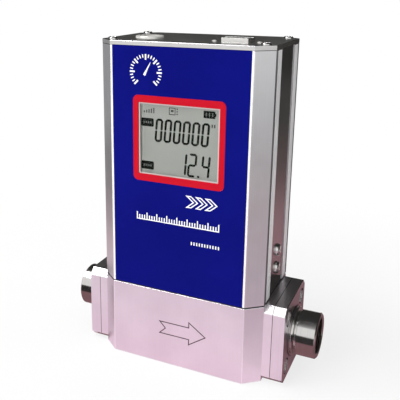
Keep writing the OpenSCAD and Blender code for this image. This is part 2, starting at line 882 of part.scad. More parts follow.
module at_probe(side) {
    translate([sensor_x + side * probe_pitch / 2, 0, 0])
        children();
}

module sensor_holder() {
    color([0.68, 0.68, 0.69])
        difference() {
            union() {
                translate([sensor_x, 0, block_top - stem_len])
                    cylinder(h = stem_len, d = holder_stem_d, $fn = round_fn);
                translate([sensor_x, 0, block_top])
                    cylinder(h = holder_flange_t, d = holder_flange_d, $fn = round_fn);
                translate([sensor_x, 0, block_top])
                    cylinder(h = holder_flange_t + holder_neck_h, d = holder_neck_d,
                        $fn = round_fn);
            }
            for (side = [-1, 1])
                at_probe(side)
                    translate([0, 0, block_top - stem_len - overrun])
                        cylinder(h = stem_len + holder_flange_t + holder_neck_h + 2 * overrun,
                            d = probe_d + 2 * fit_clear, $fn = small_fn);
            at_holder_screws()
                translate([0, 0, -overrun])
                    cylinder(h = holder_flange_t + 2 * overrun, d = small_screw_d + 2 * fit_clear,
                        $fn = small_fn);
        }
}

module stem_seal() {
    color([0.10, 0.10, 0.11])
        translate([sensor_x, 0, block_top - stem_seal_t])
            difference() {
                cylinder(h = stem_seal_t, d = stem_seal_d, $fn = round_fn);
                translate([0, 0, -overrun])
                    cylinder(h = stem_seal_t + 2 * overrun, d = holder_stem_d + 2 * fit_clear,
                        $fn = round_fn);
            }
}

// A probe that hangs from the sensor board through the holder into the bore
module probe(side) {
    top = sensor_board_z;
    bottom = block_top - stem_len - probe_reach + probe_d / 2;
    at_probe(side) {
        translate([0, 0, bottom])
            cylinder(h = top - bottom, d = probe_d, $fn = small_fn);
        translate([0, 0, bottom])
            sphere(d = probe_d, $fn = small_fn);
    }
}

module heater_probe() {
    color([0.75, 0.72, 0.66])
        probe(1);
}

module reference_probe() {
    color([0.75, 0.74, 0.72])
        probe(-1);
}

module sensor_board() {
    color([0.05, 0.32, 0.16])
        translate([sensor_x, 0, sensor_board_z])
            cylinder(h = board_t, d = sensor_board_d, $fn = round_fn);
}

module holder_screws() {
    color([0.35, 0.35, 0.37])
        at_holder_screws()
            translate([0, 0, holder_flange_t])
                small_screw(holder_flange_t + top_screw_grip);
}

// Brackets that tie the side panels to the block

module bracket() {
    color([0.60, 0.60, 0.62])
        difference() {
            translate([panel_x - bracket_foot_len, -bracket_w / 2, block_top])
                difference() {
                    cube([bracket_foot_len, bracket_w, bracket_h]);
                    translate([-bracket_t, -overrun, bracket_t])
                        cube([bracket_foot_len, bracket_w + 2 * overrun, bracket_h]);
                }
            at_foot_screw()
                translate([0, 0, -overrun])
                    cylinder(h = bracket_t + 2 * overrun, d = side_screw_d + 2 * fit_clear,
                        $fn = small_fn);
            translate([panel_x - bracket_t - overrun, 0, 0])
                at_side_screws()
                    cylinder(h = bracket_t + 2 * overrun, d = side_screw_d + 2 * fit_clear,
                        $fn = small_fn);
        }
}

module right_bracket() {
    bracket();
}

module left_bracket() {
    mirror([1, 0, 0])
        bracket();
}

module bracket_screws() {
    color([0.35, 0.35, 0.37])
        on_both_sides()
            at_foot_screw()
                translate([0, 0, bracket_t])
                    screw(side_screw_d, bracket_t + top_screw_grip, side_head_d, side_head_h,
                        side_screw_d / 2, side_head_h / 2);
}

// Head

module base_gasket() {
    color([0.08, 0.08, 0.09])
        translate([0, 0, block_top])
            linear_extrude(gasket_t)
                difference() {
                    polygon(drawn_in(head_outline(), gasket_setback));
                    polygon(drawn_in(head_outline(), gasket_setback + gasket_w));
                }
}

// Front half of the head's section, with panel slots, corner grooves and screw ports
module cover_section() {
    side_y = bar_size / 2;
    edge_y = panel_show_w / 2;
    slot_y = panel_edge + slide_clear;
    lip_x = panel_x - slide_clear - lip_t;
    difference() {
        union() {
            difference() {
                polygon([[-head_w / 2, -edge_y], [-head_w / 2, -side_y],
                    [-head_flat_w / 2, -front_y], [head_flat_w / 2, -front_y],
                    [head_w / 2, -side_y], [head_w / 2, -edge_y]]);
                polygon(drawn_in(head_outline(), cover_wall));
            }
            for (side = [0, 1])
                mirror([side, 0])
                    translate([lip_x, -slot_y - web_t]) {
                        square([inner_x - lip_x, web_t]);
                        square([lip_t, slot_y + web_t - edge_y]);
                    }
            for (side = [0, 1])
                mirror([side, 0])
                    translate([port_x, -port_y]) {
                        circle(d = port_d, $fn = small_fn);
                        translate([0, -web_t / 2])
                            square([head_w / 2 - port_x - cover_wall / 2, web_t]);
                    }
        }
        for (side = [0, 1])
            mirror([side, 0])
                translate([head_w / 2 - corner_groove_depth,
                    -side_y + corner_groove_inset])
                    square([corner_groove_depth + overrun, corner_groove_w]);
        for (side = [-1, 1])
            translate([side * port_x, -port_y])
                circle(d = small_screw_d + 2 * fit_clear, $fn = small_fn);
    }
}

// A cut into the front face, from the face to a depth, at the display's height
module display_cut(depth) {
    translate([0, depth - front_y, display_z])
        towards_front(depth + overrun)
            children();
}

module front_cover() {
    color([0.80, 0.80, 0.81])
        difference() {
            translate([0, 0, head_z])
                linear_extrude(head_h)
                    cover_section();
            translate([-label_w / 2 - slide_clear, -front_y - overrun, head_z - overrun])
                cube([label_w + 2 * slide_clear, label_t + overrun, head_h + 2 * overrun]);
            display_cut(frame_t + glass_t)
                round_rect(frame_w + 2 * slide_clear, frame_h + 2 * slide_clear,
                    frame_corner_r + slide_clear);
            display_cut(cover_wall + overrun)
                square([opening_w, opening_h], center = true);
        }
}

module rear_cover() {
    color([0.80, 0.80, 0.81])
        translate([0, 0, head_z])
            linear_extrude(head_h)
                mirror([0, 1])
                    cover_section();
}

// A panel's section: thin edges for the slots and a thick middle that fills the gap between the covers
module side_panel_section() {
    step_x = panel_x + panel_t;
    raised_y = panel_show_w / 2 - panel_gap;
    polygon([[panel_x, -panel_edge], [step_x, -panel_edge], [step_x, -raised_y],
        [panel_face_x, -raised_y], [panel_face_x, raised_y], [step_x, raised_y],
        [step_x, panel_edge], [panel_x, panel_edge]]);
}

module side_panel() {
    color([0.45, 0.44, 0.44])
        difference() {
            translate([0, 0, head_z])
                linear_extrude(head_h)
                    side_panel_section();
            translate([panel_x - overrun, 0, 0])
                at_side_screws()
                    cylinder(h = panel_face_x - panel_x + 2 * overrun,
                        d = side_screw_d + 2 * fit_clear, $fn = small_fn);
        }
}

module right_side_panel() {
    side_panel();
}

module left_side_panel() {
    mirror([1, 0, 0])
        side_panel();
}

module side_screws() {
    color([0.45, 0.45, 0.47])
        on_both_sides()
            translate([panel_face_x, 0, 0])
                at_side_screws()
                    screw(side_screw_d, panel_face_x - panel_x + bracket_t + side_screw_tail,
                        side_head_d, side_head_h, side_screw_d / 2, side_head_h / 2);
}

module at_socket() {
    translate([socket_x, socket_y, 0])
        children();
}

module at_data_port() {
    translate([data_x, data_y, 0])
        children();
}

module at_data_screws() {
    for (side = [-1, 1])
        at_data_port()
            translate([side * data_screw_pitch / 2, 0, 0])
                children();
}

// The port's tapered outline, drawn out by t on every side
module data_outline(t) {
    polygon(drawn_in([
        [data_taper / 2 - data_shell_w / 2, -data_shell_d / 2],
        [data_shell_w / 2 - data_taper / 2, -data_shell_d / 2],
        [data_shell_w / 2, data_shell_d / 2],
        [-data_shell_w / 2, data_shell_d / 2]], -t));
}

module top_plate() {
    color([0.74, 0.74, 0.75])
        difference() {
            translate([0, 0, head_top])
                linear_extrude(top_plate_t)
                    polygon(head_outline());
            translate([0, 0, head_top - overrun]) {
                at_corners(port_x, port_y)
                    cylinder(h = top_plate_t + 2 * overrun, d = small_screw_d + 2 * slide_clear,
                        $fn = small_fn);
                at_socket()
                    cylinder(h = top_plate_t + 2 * overrun, d = socket_body_d + 2 * slide_clear,
                        $fn = round_fn);
                at_data_port()
                    linear_extrude(top_plate_t + 2 * overrun)
                        data_outline(slide_clear);
                at_data_screws()
                    cylinder(h = top_plate_t + 2 * overrun, d = small_screw_d + 2 * slide_clear,
                        $fn = small_fn);
            }
        }
}

module top_plate_screws() {
    color([0.62, 0.62, 0.63])
        translate([0, 0, plate_top])
            at_corners(port_x, port_y)
                small_screw(top_plate_t + top_screw_grip_len);
}

module front_label() {
    color([0.06, 0.07, 0.47])
        translate([0, label_t - front_y, head_z])
            towards_front(label_t)
                difference() {
                    translate([-label_w / 2, 0])
                        square([label_w, head_h]);
                    translate([0, display_z - head_z])
                        round_rect(frame_w + 2 * slide_clear, frame_h + 2 * slide_clear,
                            frame_corner_r + slide_clear);
                }
}

// Display

// A flat piece of the display stack, with its front a given depth behind the front face
module display_layer(depth, t) {
    translate([0, depth + t - front_y, display_z])
        towards_front(t)
            children();
}

module display_frame() {
    color([0.86, 0.06, 0.16])
        display_layer(0, frame_t)
            difference() {
                round_rect(frame_w, frame_h, frame_corner_r);
                square([window_w, window_h], center = true);
            }
}

module display_window() {
    color([0.85, 0.90, 0.92, 0.4])
        display_layer(frame_t, glass_t)
            round_rect(frame_w, frame_h, frame_corner_r);
}

module lcd_bezel() {
    outer = [lcd_w + 2 * slide_clear + 2 * bezel_t, lcd_h + 2 * slide_clear + 2 * bezel_t];
    color([0.55, 0.55, 0.57])
        difference() {
            display_layer(cover_wall, bezel_depth)
                square(outer, center = true);
            display_layer(cover_wall + bezel_t, bezel_depth)
                square([lcd_w + 2 * slide_clear, lcd_h + 2 * slide_clear], center = true);
            display_layer(cover_wall - overrun, bezel_t + 2 * overrun)
                square([opening_w, opening_h], center = true);
        }
}

module lcd_cell() {
    color([0.62, 0.65, 0.60])
        display_layer(cover_wall + bezel_t, lcd_t)
            square([lcd_w, lcd_h], center = true);
}

module lcd_backlight() {
    color([0.92, 0.92, 0.88])
        display_layer(cover_wall + bezel_t + lcd_t, backlight_t)
            square([lcd_w, lcd_h], center = true);
}

module lcd_board() {
    color([0.05, 0.32, 0.16])
        difference() {
            display_layer(cover_wall + bezel_depth, board_t)
                square([lcd_board_w, lcd_board_h], center = true);
            translate([0, -lcd_board_front, display_z])
                at_board_holes(lcd_hole_x, lcd_hole_z)
                    rotate([90, 0, 0])
                        cylinder(h = 2 * (board_t + overrun), d = lcd_screw_d + 2 * fit_clear,
                            center = true, $fn = small_fn);
        }
}

module lcd_standoffs() {
    color([0.70, 0.60, 0.30])
        translate([0, -lcd_board_front, display_z])
            at_board_holes(lcd_hole_x, lcd_hole_z)
                rotate([90, 0, 0])
                    difference() {
                        cylinder(h = bezel_depth, d = standoff_d, $fn = small_fn);
                        translate([0, 0, -overrun])
                            cylinder(h = bezel_depth, d = lcd_screw_d + 2 * fit_clear,
                                $fn = small_fn);
                    }
}

module lcd_screws() {
    color([0.45, 0.45, 0.47])
        translate([0, -lcd_board_back, display_z])
            at_board_holes(lcd_hole_x, lcd_hole_z)
                rotate([-90, 0, 0])
                    screw(lcd_screw_d, board_t + bezel_depth / 2, lcd_head_d, lcd_head_h,
                        lcd_screw_d / 2, lcd_head_h / 2);
}

// Main board and what it carries

module at_main_holes() {
    translate([0, 0, main_board_z + main_board_h / 2])
        at_board_holes(main_hole_x, main_board_h / 2 - main_hole_inset)
            children();
}

// A place on the main board's front above the display header, given as shares
module on_main_board(place_share) {
    bottom = display_header_z + header_h;
    top = main_board_z + main_board_h;
    translate([place_share[0] * main_board_w, main_front_y,
        bottom + place_share[1] * (top - bottom)])
        children();
}

module main_board() {
    color([0.04, 0.28, 0.15])
        difference() {
            translate([-main_board_w / 2, main_front_y, main_board_z])
                cube([main_board_w, board_t, main_board_h]);
            translate([0, main_front_y - overrun, 0])
                at_main_holes()
                    rotate([-90, 0, 0])
                        cylinder(h = board_t + 2 * overrun, d = small_screw_d + 2 * fit_clear,
                            $fn = small_fn);
        }
}

module board_standoffs() {
    color([0.70, 0.60, 0.30])
        translate([0, main_back_y, 0])
            at_main_holes()
                rotate([-90, 0, 0])
                    difference() {
                        cylinder(h = standoff_len, d = standoff_d, $fn = small_fn);
                        translate([0, 0, -overrun])
                            cylinder(h = standoff_len, d = small_screw_d + 2 * fit_clear,
                                $fn = small_fn);
                    }
}

module board_screws() {
    color([0.45, 0.45, 0.47])
        translate([0, main_front_y, 0])
            at_main_holes()
                rotate([90, 0, 0])
                    small_screw(board_t + standoff_len / 2);
}

module board_chips() {
    color([0.07, 0.07, 0.08]) {
        for (i = [0:len(chip_sizes) - 1])
            on_main_board(chip_place_shares[i])
                translate([-chip_sizes[i][0] / 2, -chip_sizes[i][2], -chip_sizes[i][1] / 2])
                    cube([chip_sizes[i][0], chip_sizes[i][2], chip_sizes[i][1]]);
        translate([sensor_x - sensor_chip_size[0] / 2, -sensor_chip_size[1],
            sensor_board_z + board_t])
            cube(sensor_chip_size);
    }
}

module board_capacitors() {
    color([0.62, 0.62, 0.66])
        for (i = [0:len(capacitor_sizes) - 1])
            on_main_board(capacitor_place_shares[i])
                rotate([90, 0, 0])
                    cylinder(h = capacitor_sizes[i][1], d = capacitor_sizes[i][0],
                        $fn = small_fn);
}

module board_headers() {
    color([0.88, 0.86, 0.78]) {
        translate([0, header_face_y, display_header_z])
            header(ribbon_w);
        translate([data_x, header_face_y, supply_header_z - header_h])
            header(ribbon_w);
        translate([socket_x, header_face_y, supply_header_z - header_h])
            header(ribbon_w);
        translate([sensor_x, header_face_y, sensor_header_z - header_h])
            header(ribbon_w);
        translate([0, -lcd_board_back, lcd_header_z])
            header(ribbon_w);
        translate([sensor_x, sensor_header_y - header_t / 2, sensor_board_z + board_t])
            header(ribbon_w);
    }
}

module battery_holder() {
    color([0.09, 0.09, 0.10])
        difference() {
            translate([-holder_len / 2 - holder_wall, cell_y, holder_z])
                cube([holder_len + 2 * holder_wall, main_front_y - cell_y, holder_h]);
            translate([-holder_len / 2, cell_y - overrun, holder_z + holder_wall])
                cube([holder_len, main_front_y - cell_y - holder_wall + overrun,
                    holder_h - 2 * holder_wall]);
        }
}

module battery_contacts() {
    color([0.78, 0.76, 0.70])
        on_both_sides()
            translate([holder_len / 2 - contact_t, cell_y - cell_d / 4, cell_z - cell_d / 4])
                cube([contact_t, cell_d / 2, cell_d / 2]);
}

module battery_cell() {
    color([0.20, 0.42, 0.25])
        translate([-cell_len / 2, cell_y, cell_z])
            rotate([0, 90, 0]) {
                cylinder(h = cell_len - cell_button_h, d = cell_d, $fn = round_fn);
                cylinder(h = cell_len, d = cell_button_d, $fn = small_fn);
            }
}

module ribbon(x, a, b, upright) {
    translate([x - ribbon_w / 2, 0, 0])
        along_x(ribbon_w)
            polygon(ribbon_outline(ribbon_line(a, b, upright), ribbon_t, upright));
}

module display_ribbon() {
    color([0.75, 0.75, 0.78])
        ribbon(0, [header_t - lcd_board_back, lcd_header_z + header_h / 2],
            [header_face_y, display_header_z + header_h / 2], false);
}

module sensor_ribbon() {
    color([0.75, 0.75, 0.78])
        ribbon(sensor_x, [sensor_header_y, sensor_board_z + board_t + header_h],
            [header_face_y + header_t / 2, sensor_header_z - header_h], true);
}

module data_ribbon() {
    color([0.75, 0.75, 0.78])
        ribbon(data_x, [header_face_y + header_t / 2, supply_header_z],
            [data_y, data_insert_z], true);
}

module power_ribbon() {
    color([0.60, 0.20, 0.20])
        ribbon(socket_x, [header_face_y + header_t / 2, supply_header_z],
            [socket_y, socket_bottom], true);
}

// Power socket

// Half section of the socket's shell: distance from its middle, height
function socket_section() =
    let (rim = plate_top + socket_rim_h, edge = socket_rim_h / 3,
        bore = socket_bore_d / 2, lip_top = socket_bottom + socket_lip)
    [[bore - socket_lip, socket_bottom], [socket_body_d / 2, socket_bottom],
        [socket_body_d / 2, plate_top], [socket_rim_d / 2, plate_top],
        [socket_rim_d / 2, rim - edge], [socket_rim_d / 2 - edge, rim], [bore, rim],
        [bore, lip_top], [bore - socket_lip, lip_top]];

module socket_shell() {
    color([0.78, 0.78, 0.78])
        at_socket()
            rotate_extrude($fn = round_fn)
                polygon(socket_section());
}

module at_socket_contacts() {
    for (i = [0:socket_pin_count - 1])
        at_socket()
            rotate([0, 0, 360 * i / socket_pin_count])
                translate([socket_pin_pcd / 2, 0, 0])
                    children();
}

module socket_insert() {
    bottom = socket_bottom + socket_lip;
    top = plate_top + socket_rim_h - socket_insert_sink;
    color([0.10, 0.10, 0.11])
        difference() {
            at_socket()
                translate([0, 0, bottom])
                    cylinder(h = top - bottom, d = socket_insert_d, $fn = round_fn);
            at_socket_contacts()
                translate([0, 0, bottom - overrun])
                    cylinder(h = top - bottom + 2 * overrun, d = socket_pin_d + 2 * fit_clear,
                        $fn = small_fn);
        }
}

module socket_contacts() {
    bottom = socket_bottom;
    top = plate_top + socket_rim_h - socket_insert_sink;
    color([0.80, 0.66, 0.30])
        at_socket_contacts()
            translate([0, 0, bottom])
                difference() {
                    cylinder(h = top - bottom, d = socket_pin_d, $fn = small_fn);
                    translate([0, 0, top - bottom - socket_pin_d])
                        cylinder(h = socket_pin_d + overrun, d = socket_pin_d / 2,
                            $fn = small_fn);
                }
}

module socket_nut() {
    color([0.66, 0.66, 0.67])
        at_socket()
            translate([0, 0, head_top - socket_nut_t])
                difference() {
                    cylinder(h = socket_nut_t, d = socket_nut_af / cos(30), $fn = 6);
                    translate([0, 0, -overrun])
                        cylinder(h = socket_nut_t + 2 * overrun,
                            d = socket_body_d + 2 * fit_clear, $fn = round_fn);
                }
}

// Data port

module data_port_shell() {
    color([0.80, 0.80, 0.80])
        difference() {
            union() {
                at_data_port()
                    translate([0, 0, head_top - data_flange_t])
                        linear_extrude(data_flange_t)
                            round_rect(data_flange_w, data_flange_d, data_flange_r);
                at_data_port()
                    translate([0, 0, head_top - data_flange_t])
                        linear_extrude(data_flange_t + top_plate_t + data_shell_h)
                            data_outline(0);
            }
            at_data_port()
                translate([0, 0, head_top - data_flange_t - overrun])
                    linear_extrude(data_flange_t + top_plate_t + data_shell_h + 2 * overrun)
                        data_outline(fit_clear - data_shell_t);
            at_data_screws()
                translate([0, 0, head_top - data_flange_t - overrun])
                    cylinder(h = data_flange_t + 2 * overrun, d = small_screw_d + 2 * fit_clear,
                        $fn = small_fn);
        }
}

module at_data_contacts() {
    for (row = [0, 1], i = [0:data_rows[row] - 1])
        at_data_port()
            translate([(i - (data_rows[row] - 1) / 2) * data_pin_pitch,
                (row - 1 / 2) * data_row_pitch, 0])
                children();
}

module data_port_insert() {
    top = plate_top + data_shell_h - data_shell_t;
    color([0.08, 0.08, 0.09])
        difference() {
            at_data_port()
                translate([0, 0, data_insert_z])
                    linear_extrude(top - data_insert_z)
                        data_outline(-data_shell_t);
            at_data_contacts()
                translate([0, 0, data_insert_z - overrun])
                    cylinder(h = top - data_insert_z + 2 * overrun, d = data_pin_d + 2 * fit_clear,
                        $fn = small_fn);
        }
}

module data_port_contacts() {
    top = plate_top + data_shell_h - data_shell_t - data_pin_d;
    color([0.80, 0.66, 0.30])
        at_data_contacts()
            translate([0, 0, data_insert_z])
                cylinder(h = top - data_insert_z, d = data_pin_d, $fn = small_fn);
}

module data_port_screws() {
    color([0.72, 0.72, 0.72])
        translate([0, 0, plate_top])
            at_data_screws()
                screw(small_screw_d, top_plate_t + data_flange_t + data_head_h, data_head_d,
                    data_head_h, small_key_af, data_head_h / 2);
}

flow_body();
inlet_end_plate();
outlet_end_plate();
inlet_nipple();
outlet_nipple();
inlet_plate_seal();
outlet_plate_seal();
inlet_screen();
outlet_screen();
inlet_plate_screws();
outlet_plate_screws();
flow_conditioner();
sensor_holder();
stem_seal();
heater_probe();
reference_probe();
sensor_board();
holder_screws();
base_gasket();
left_bracket();
right_bracket();
bracket_screws();
front_cover();
rear_cover();
left_side_panel();
right_side_panel();
side_screws();
top_plate();
top_plate_screws();
front_label();
display_frame();
display_window();
lcd_bezel();
lcd_cell();
lcd_backlight();
lcd_board();
lcd_standoffs();
lcd_screws();
main_board();
board_standoffs();
board_screws();
board_chips();
board_capacitors();
board_headers();
battery_holder();
battery_contacts();
battery_cell();
display_ribbon();
sensor_ribbon();
data_ribbon();
power_ribbon();
socket_shell();
socket_insert();
socket_contacts();
socket_nut();
data_port_shell();
data_port_insert();
data_port_contacts();
data_port_screws();
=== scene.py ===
"""Looks of a thermal mass flow meter: a bored block with turned nipples under a tall aluminium head."""
import math

import bmesh
import bpy
import numpy as np
from mathutils import Matrix, Vector


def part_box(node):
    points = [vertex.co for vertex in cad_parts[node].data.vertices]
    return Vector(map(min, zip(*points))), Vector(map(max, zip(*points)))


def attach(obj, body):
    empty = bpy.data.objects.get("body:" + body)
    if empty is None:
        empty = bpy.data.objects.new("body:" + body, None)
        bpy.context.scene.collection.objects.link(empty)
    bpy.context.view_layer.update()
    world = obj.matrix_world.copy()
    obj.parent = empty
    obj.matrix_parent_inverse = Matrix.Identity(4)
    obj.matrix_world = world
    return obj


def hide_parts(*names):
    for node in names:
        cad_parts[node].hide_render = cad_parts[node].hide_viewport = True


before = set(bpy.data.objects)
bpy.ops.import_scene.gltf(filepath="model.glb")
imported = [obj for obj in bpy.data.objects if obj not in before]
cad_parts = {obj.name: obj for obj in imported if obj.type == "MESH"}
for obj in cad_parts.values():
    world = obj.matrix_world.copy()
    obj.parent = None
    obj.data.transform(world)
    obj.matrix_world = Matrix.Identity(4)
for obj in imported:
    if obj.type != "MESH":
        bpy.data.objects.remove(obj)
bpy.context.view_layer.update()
MM = 0.001

# Camera: where it stands, how it is turned and how long its lens is, for a frame of 400 by 400 pixels
CAMERA_PLACE = (0.1332, -0.3355, 0.2197)
CAMERA_YAW = -0.4539
CAMERA_PITCH = -0.2591
CAMERA_FOCUS_PX = 633.9
CAMERA_CENTRE_PX = (152.0, 152.0)
FRAME_PX = 400
SENSOR_MM = 36.0

# Corners of the nodes by which prints, seams and nipples are placed, in metres
LABEL_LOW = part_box("front_label")[0]
CELL_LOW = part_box("lcd_cell")[0]
WINDOW_LOW, WINDOW_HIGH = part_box("display_window")
RED_LOW, RED_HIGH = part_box("display_frame")
PLATE_LOW, PLATE_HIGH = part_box("outlet_end_plate")
TOP_LOW, TOP_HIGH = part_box("top_plate")
# Height of the flow's line, and thickness of one layer of ink
FLOW_Z = (PLATE_LOW[2] + PLATE_HIGH[2]) / 2
INK = 0.02 * MM
# The red frame in mm: middle height, width, height, and widths of its upright and level bars
RED_Z = (RED_LOW[2] + RED_HIGH[2]) / 2 / MM
RED_W = (RED_HIGH[0] - RED_LOW[0]) / MM
RED_H = (RED_HIGH[2] - RED_LOW[2]) / MM
RED_SIDE = 3.25
RED_BAR = 4.0


# Node helpers

def set_inputs(tree, node, values):
    """Sets a node's inputs. Each takes a value or another node's output."""
    for key, value in values.items():
        if isinstance(value, bpy.types.NodeSocket):
            tree.links.new(value, node.inputs[key])
        else:
            node.inputs[key].default_value = value


def add(tree, kind, inputs, **settings):
    """A new node with its settings and inputs."""
    made = tree.nodes.new(kind)
    for key, value in settings.items():
        setattr(made, key, value)
    set_inputs(tree, made, inputs)
    return made


def math_node(tree, operation, first, second=0.0):
    return add(tree, "ShaderNodeMath", {0: first, 1: second}, operation=operation).outputs[0]


def between(tree, share, low, high):
    """A number from low to high by a share from 0 to 1."""
    return math_node(tree, "ADD", math_node(tree, "MULTIPLY", share, high - low), low)


def blend(tree, first, second, share):
    """A share of the first number and the rest of the second."""
    return math_node(tree, "ADD", math_node(tree, "MULTIPLY", first, share),
        math_node(tree, "MULTIPLY", second, 1.0 - share))


def distance(tree, first, second):
    """How far a point is from a line, by its two coordinates across the line."""
    return math_node(tree, "SQRT", math_node(tree, "ADD", math_node(tree, "POWER", first, 2.0),
        math_node(tree, "POWER", second, 2.0)))


def noise(tree, vector, scale, detail, roughness):
    return add(tree, "ShaderNodeTexNoise",
        {"Vector": vector, "Scale": scale, "Detail": detail, "Roughness": roughness}).outputs[0]


def eased(tree, value, start, end, low=0.0, high=1.0):
    """A number that goes by an s-curve from low to high while the value goes from start to end."""
    return add(tree, "ShaderNodeMapRange", {0: value, 1: start, 2: end, 3: low, 4: high},
        interpolation_type="SMOOTHSTEP").outputs[0]


def new_group(name, output, **inputs):
    """An empty shader group with its output's name. It takes a Vector and the named inputs."""
    tree = bpy.data.node_groups.new(name, "ShaderNodeTree")
    for label, value in {"Vector": (0, 0, 0), **inputs}.items():
        kind = "NodeSocketVector" if isinstance(value, tuple) else "NodeSocketFloat"
        tree.interface.new_socket(label, in_out="INPUT", socket_type=kind).default_value = value
    tree.interface.new_socket(output, in_out="OUTPUT", socket_type="NodeSocketFloat")
    return tree, tree.nodes.new("NodeGroupInput").outputs, tree.nodes.new("NodeGroupOutput").inputs


def brushed_grain():
    """Long streaks: noise on a vector stretched by its own count of streaks a metre on each axis."""
    tree, given, out = new_group("brushed_grain", "Height", Streaks=(2000, 2000, 20))
    stretched = add(tree, "ShaderNodeVectorMath", {0: given["Vector"], 1: given["Streaks"]},
        operation="MULTIPLY").outputs[0]
    tree.links.new(noise(tree, stretched, 1.0, 3.0, 0.6), out["Height"])
    return tree


def mottling():
    """Soft clouds between a low and a high value."""
    tree, given, out = new_group("mottling", "Value", Clouds=40.0, Low=0.0, High=1.0)
    cloud = noise(tree, given["Vector"], given["Clouds"], 4.0, 0.55)
    tree.links.new(eased(tree, cloud, 0.3, 0.7, given["Low"], given["High"]), out["Value"])
    return tree


def dust():
    """A mask of small specks: only the peaks of a fine noise pass."""
    tree, given, out = new_group("dust", "Mask", Specks=900.0, Amount=0.2)
    peak = eased(tree, noise(tree, given["Vector"], given["Specks"], 2.0, 0.5), 0.66, 0.74)
    tree.links.new(math_node(tree, "MULTIPLY", peak, given["Amount"]), out["Mask"])
    return tree


def turned_marks():
    """Fine rings round a line along X: noise on the distance along the line and the distance from it."""
    tree, given, out = new_group("turned_marks", "Height", Centre=(0, 0, 0), Rings=2500.0)
    shifted = add(tree, "ShaderNodeVectorMath", {0: given["Vector"], 1: given["Centre"]},
        operation="SUBTRACT").outputs[0]
    apart = add(tree, "ShaderNodeSeparateXYZ", {0: shifted}).outputs
    flat = add(tree, "ShaderNodeCombineXYZ",
        {0: apart[0], 1: distance(tree, apart[1], apart[2]), 2: 0.0}).outputs[0]
    tree.links.new(noise(tree, flat, given["Rings"], 2.0, 0.6), out["Height"])
    return tree


GROUPS = {group.name: group for group in (brushed_grain(), mottling(), dust(), turned_marks())}


def use(tree, name, place, **inputs):
    """Places a shared group in a material and returns its output."""
    return add(tree, "ShaderNodeGroup", {"Vector": place, **inputs}, node_tree=GROUPS[name]).outputs[0]


def start_material(name):
    """A material with its Principled shader and the object's own coordinates."""
    made = bpy.data.materials.new(name)
    made.use_nodes = True
    tree = made.node_tree
    place = tree.nodes.new("ShaderNodeTexCoord").outputs["Object"]
    return made, tree, tree.nodes["Principled BSDF"], place


def colour_between(tree, first, second, share):
    return add(tree, "ShaderNodeMix", {0: share, "A": (*first, 1), "B": (*second, 1)},
        data_type="RGBA").outputs["Result"]


def bump(tree, height, strength, depth_mm):
    return add(tree, "ShaderNodeBump", {"Height": height, "Strength": strength,
        "Distance": depth_mm * MM}).outputs["Normal"]


# Finishes. Each has a light colour, a dark one and a range of roughness. Depths are in mm; streaks, clouds,
# specks and rings are counts a metre.

def metal(name, colour, dark, rough, streaks=(2600, 2600, 30), streak_depth=0.006, clouds=28.0,
          streak_shade=0.35, metallic=1.0):
    """Satin metal: streaks of grain in colour and bump, clouds in its gloss, a few dust specks."""
    made, tree, shader, place = start_material(name)
    grain = use(tree, "brushed_grain", place, Streaks=streaks)
    cloud = use(tree, "mottling", place, Clouds=clouds)
    speck = use(tree, "dust", place, Specks=1300.0, Amount=0.03)
    set_inputs(tree, shader, {
        "Base Color": colour_between(tree, dark, colour, blend(tree, grain, cloud, streak_shade)),
        "Metallic": metallic,
        "Roughness": math_node(tree, "ADD", between(tree, cloud, *rough), speck),
        "Normal": bump(tree, grain, 0.5, streak_depth)})
    return made


def turned_metal(name, colour, dark, rough):
    """Turned metal: rings round the flow's line and a faint cloudiness in its gloss."""
    made, tree, shader, place = start_material(name)
    ring = use(tree, "turned_marks", place, Centre=(0.0, 0.0, FLOW_Z), Rings=3000.0)
    set_inputs(tree, shader, {
        "Base Color": colour_between(tree, dark, colour, ring),
        "Metallic": 1.0,
        "Roughness": use(tree, "mottling", place, Clouds=90.0, Low=rough[0], High=rough[1]),
        "Normal": bump(tree, ring, 0.5, 0.01)})
    return made


def moulded(name, colour, dark, rough, grain=1800.0, depth=0.02, specular=0.5, clouds=60.0, specks=0.05,
            coat=0.0):
    """Plastic, rubber or paint: a fine moulded grain, uneven gloss and specks of dust."""
    made, tree, shader, place = start_material(name)
    texture = use(tree, "brushed_grain", place, Streaks=(grain, grain, grain))
    cloud = use(tree, "mottling", place, Clouds=clouds)
    speck = use(tree, "dust", place, Specks=1500.0, Amount=specks)
    set_inputs(tree, shader, {
        "Base Color": colour_between(tree, dark, colour, cloud),
        "Roughness": math_node(tree, "ADD", between(tree, cloud, *rough), speck),
        "Specular IOR Level": specular,
        "Coat Weight": coat,
        "Normal": bump(tree, texture, 0.4, depth)})
    return made


def clear_window(name):
    """Clear polycarbonate with a trace of smears in its gloss."""
    made, tree, shader, place = start_material(name)
    set_inputs(tree, shader, {
        "Base Color": (0.98, 0.99, 0.985, 1),
        "Roughness": use(tree, "mottling", place, Clouds=60.0, Low=0.01, High=0.04),
        "IOR": 1.12,
        "Transmission Weight": 1.0})
    return made


def display_glass(name):
    """The grey-green cell: an even reflector with a very fine lattice of dots and a soft shading."""
    made, tree, shader, place = start_material(name)
    dots = use(tree, "brushed_grain", place, Streaks=(4200, 200, 4200))
    cloud = use(tree, "mottling", place, Clouds=22.0)
    set_inputs(tree, shader, {
        "Base Color": colour_between(tree, (0.285, 0.290, 0.270), (0.320, 0.325, 0.302),
            blend(tree, dots, cloud, 0.3)),
        "Roughness": 0.35,
        "Specular IOR Level": 0.3,
        "Normal": bump(tree, dots, 0.2, 0.004)})
    return made


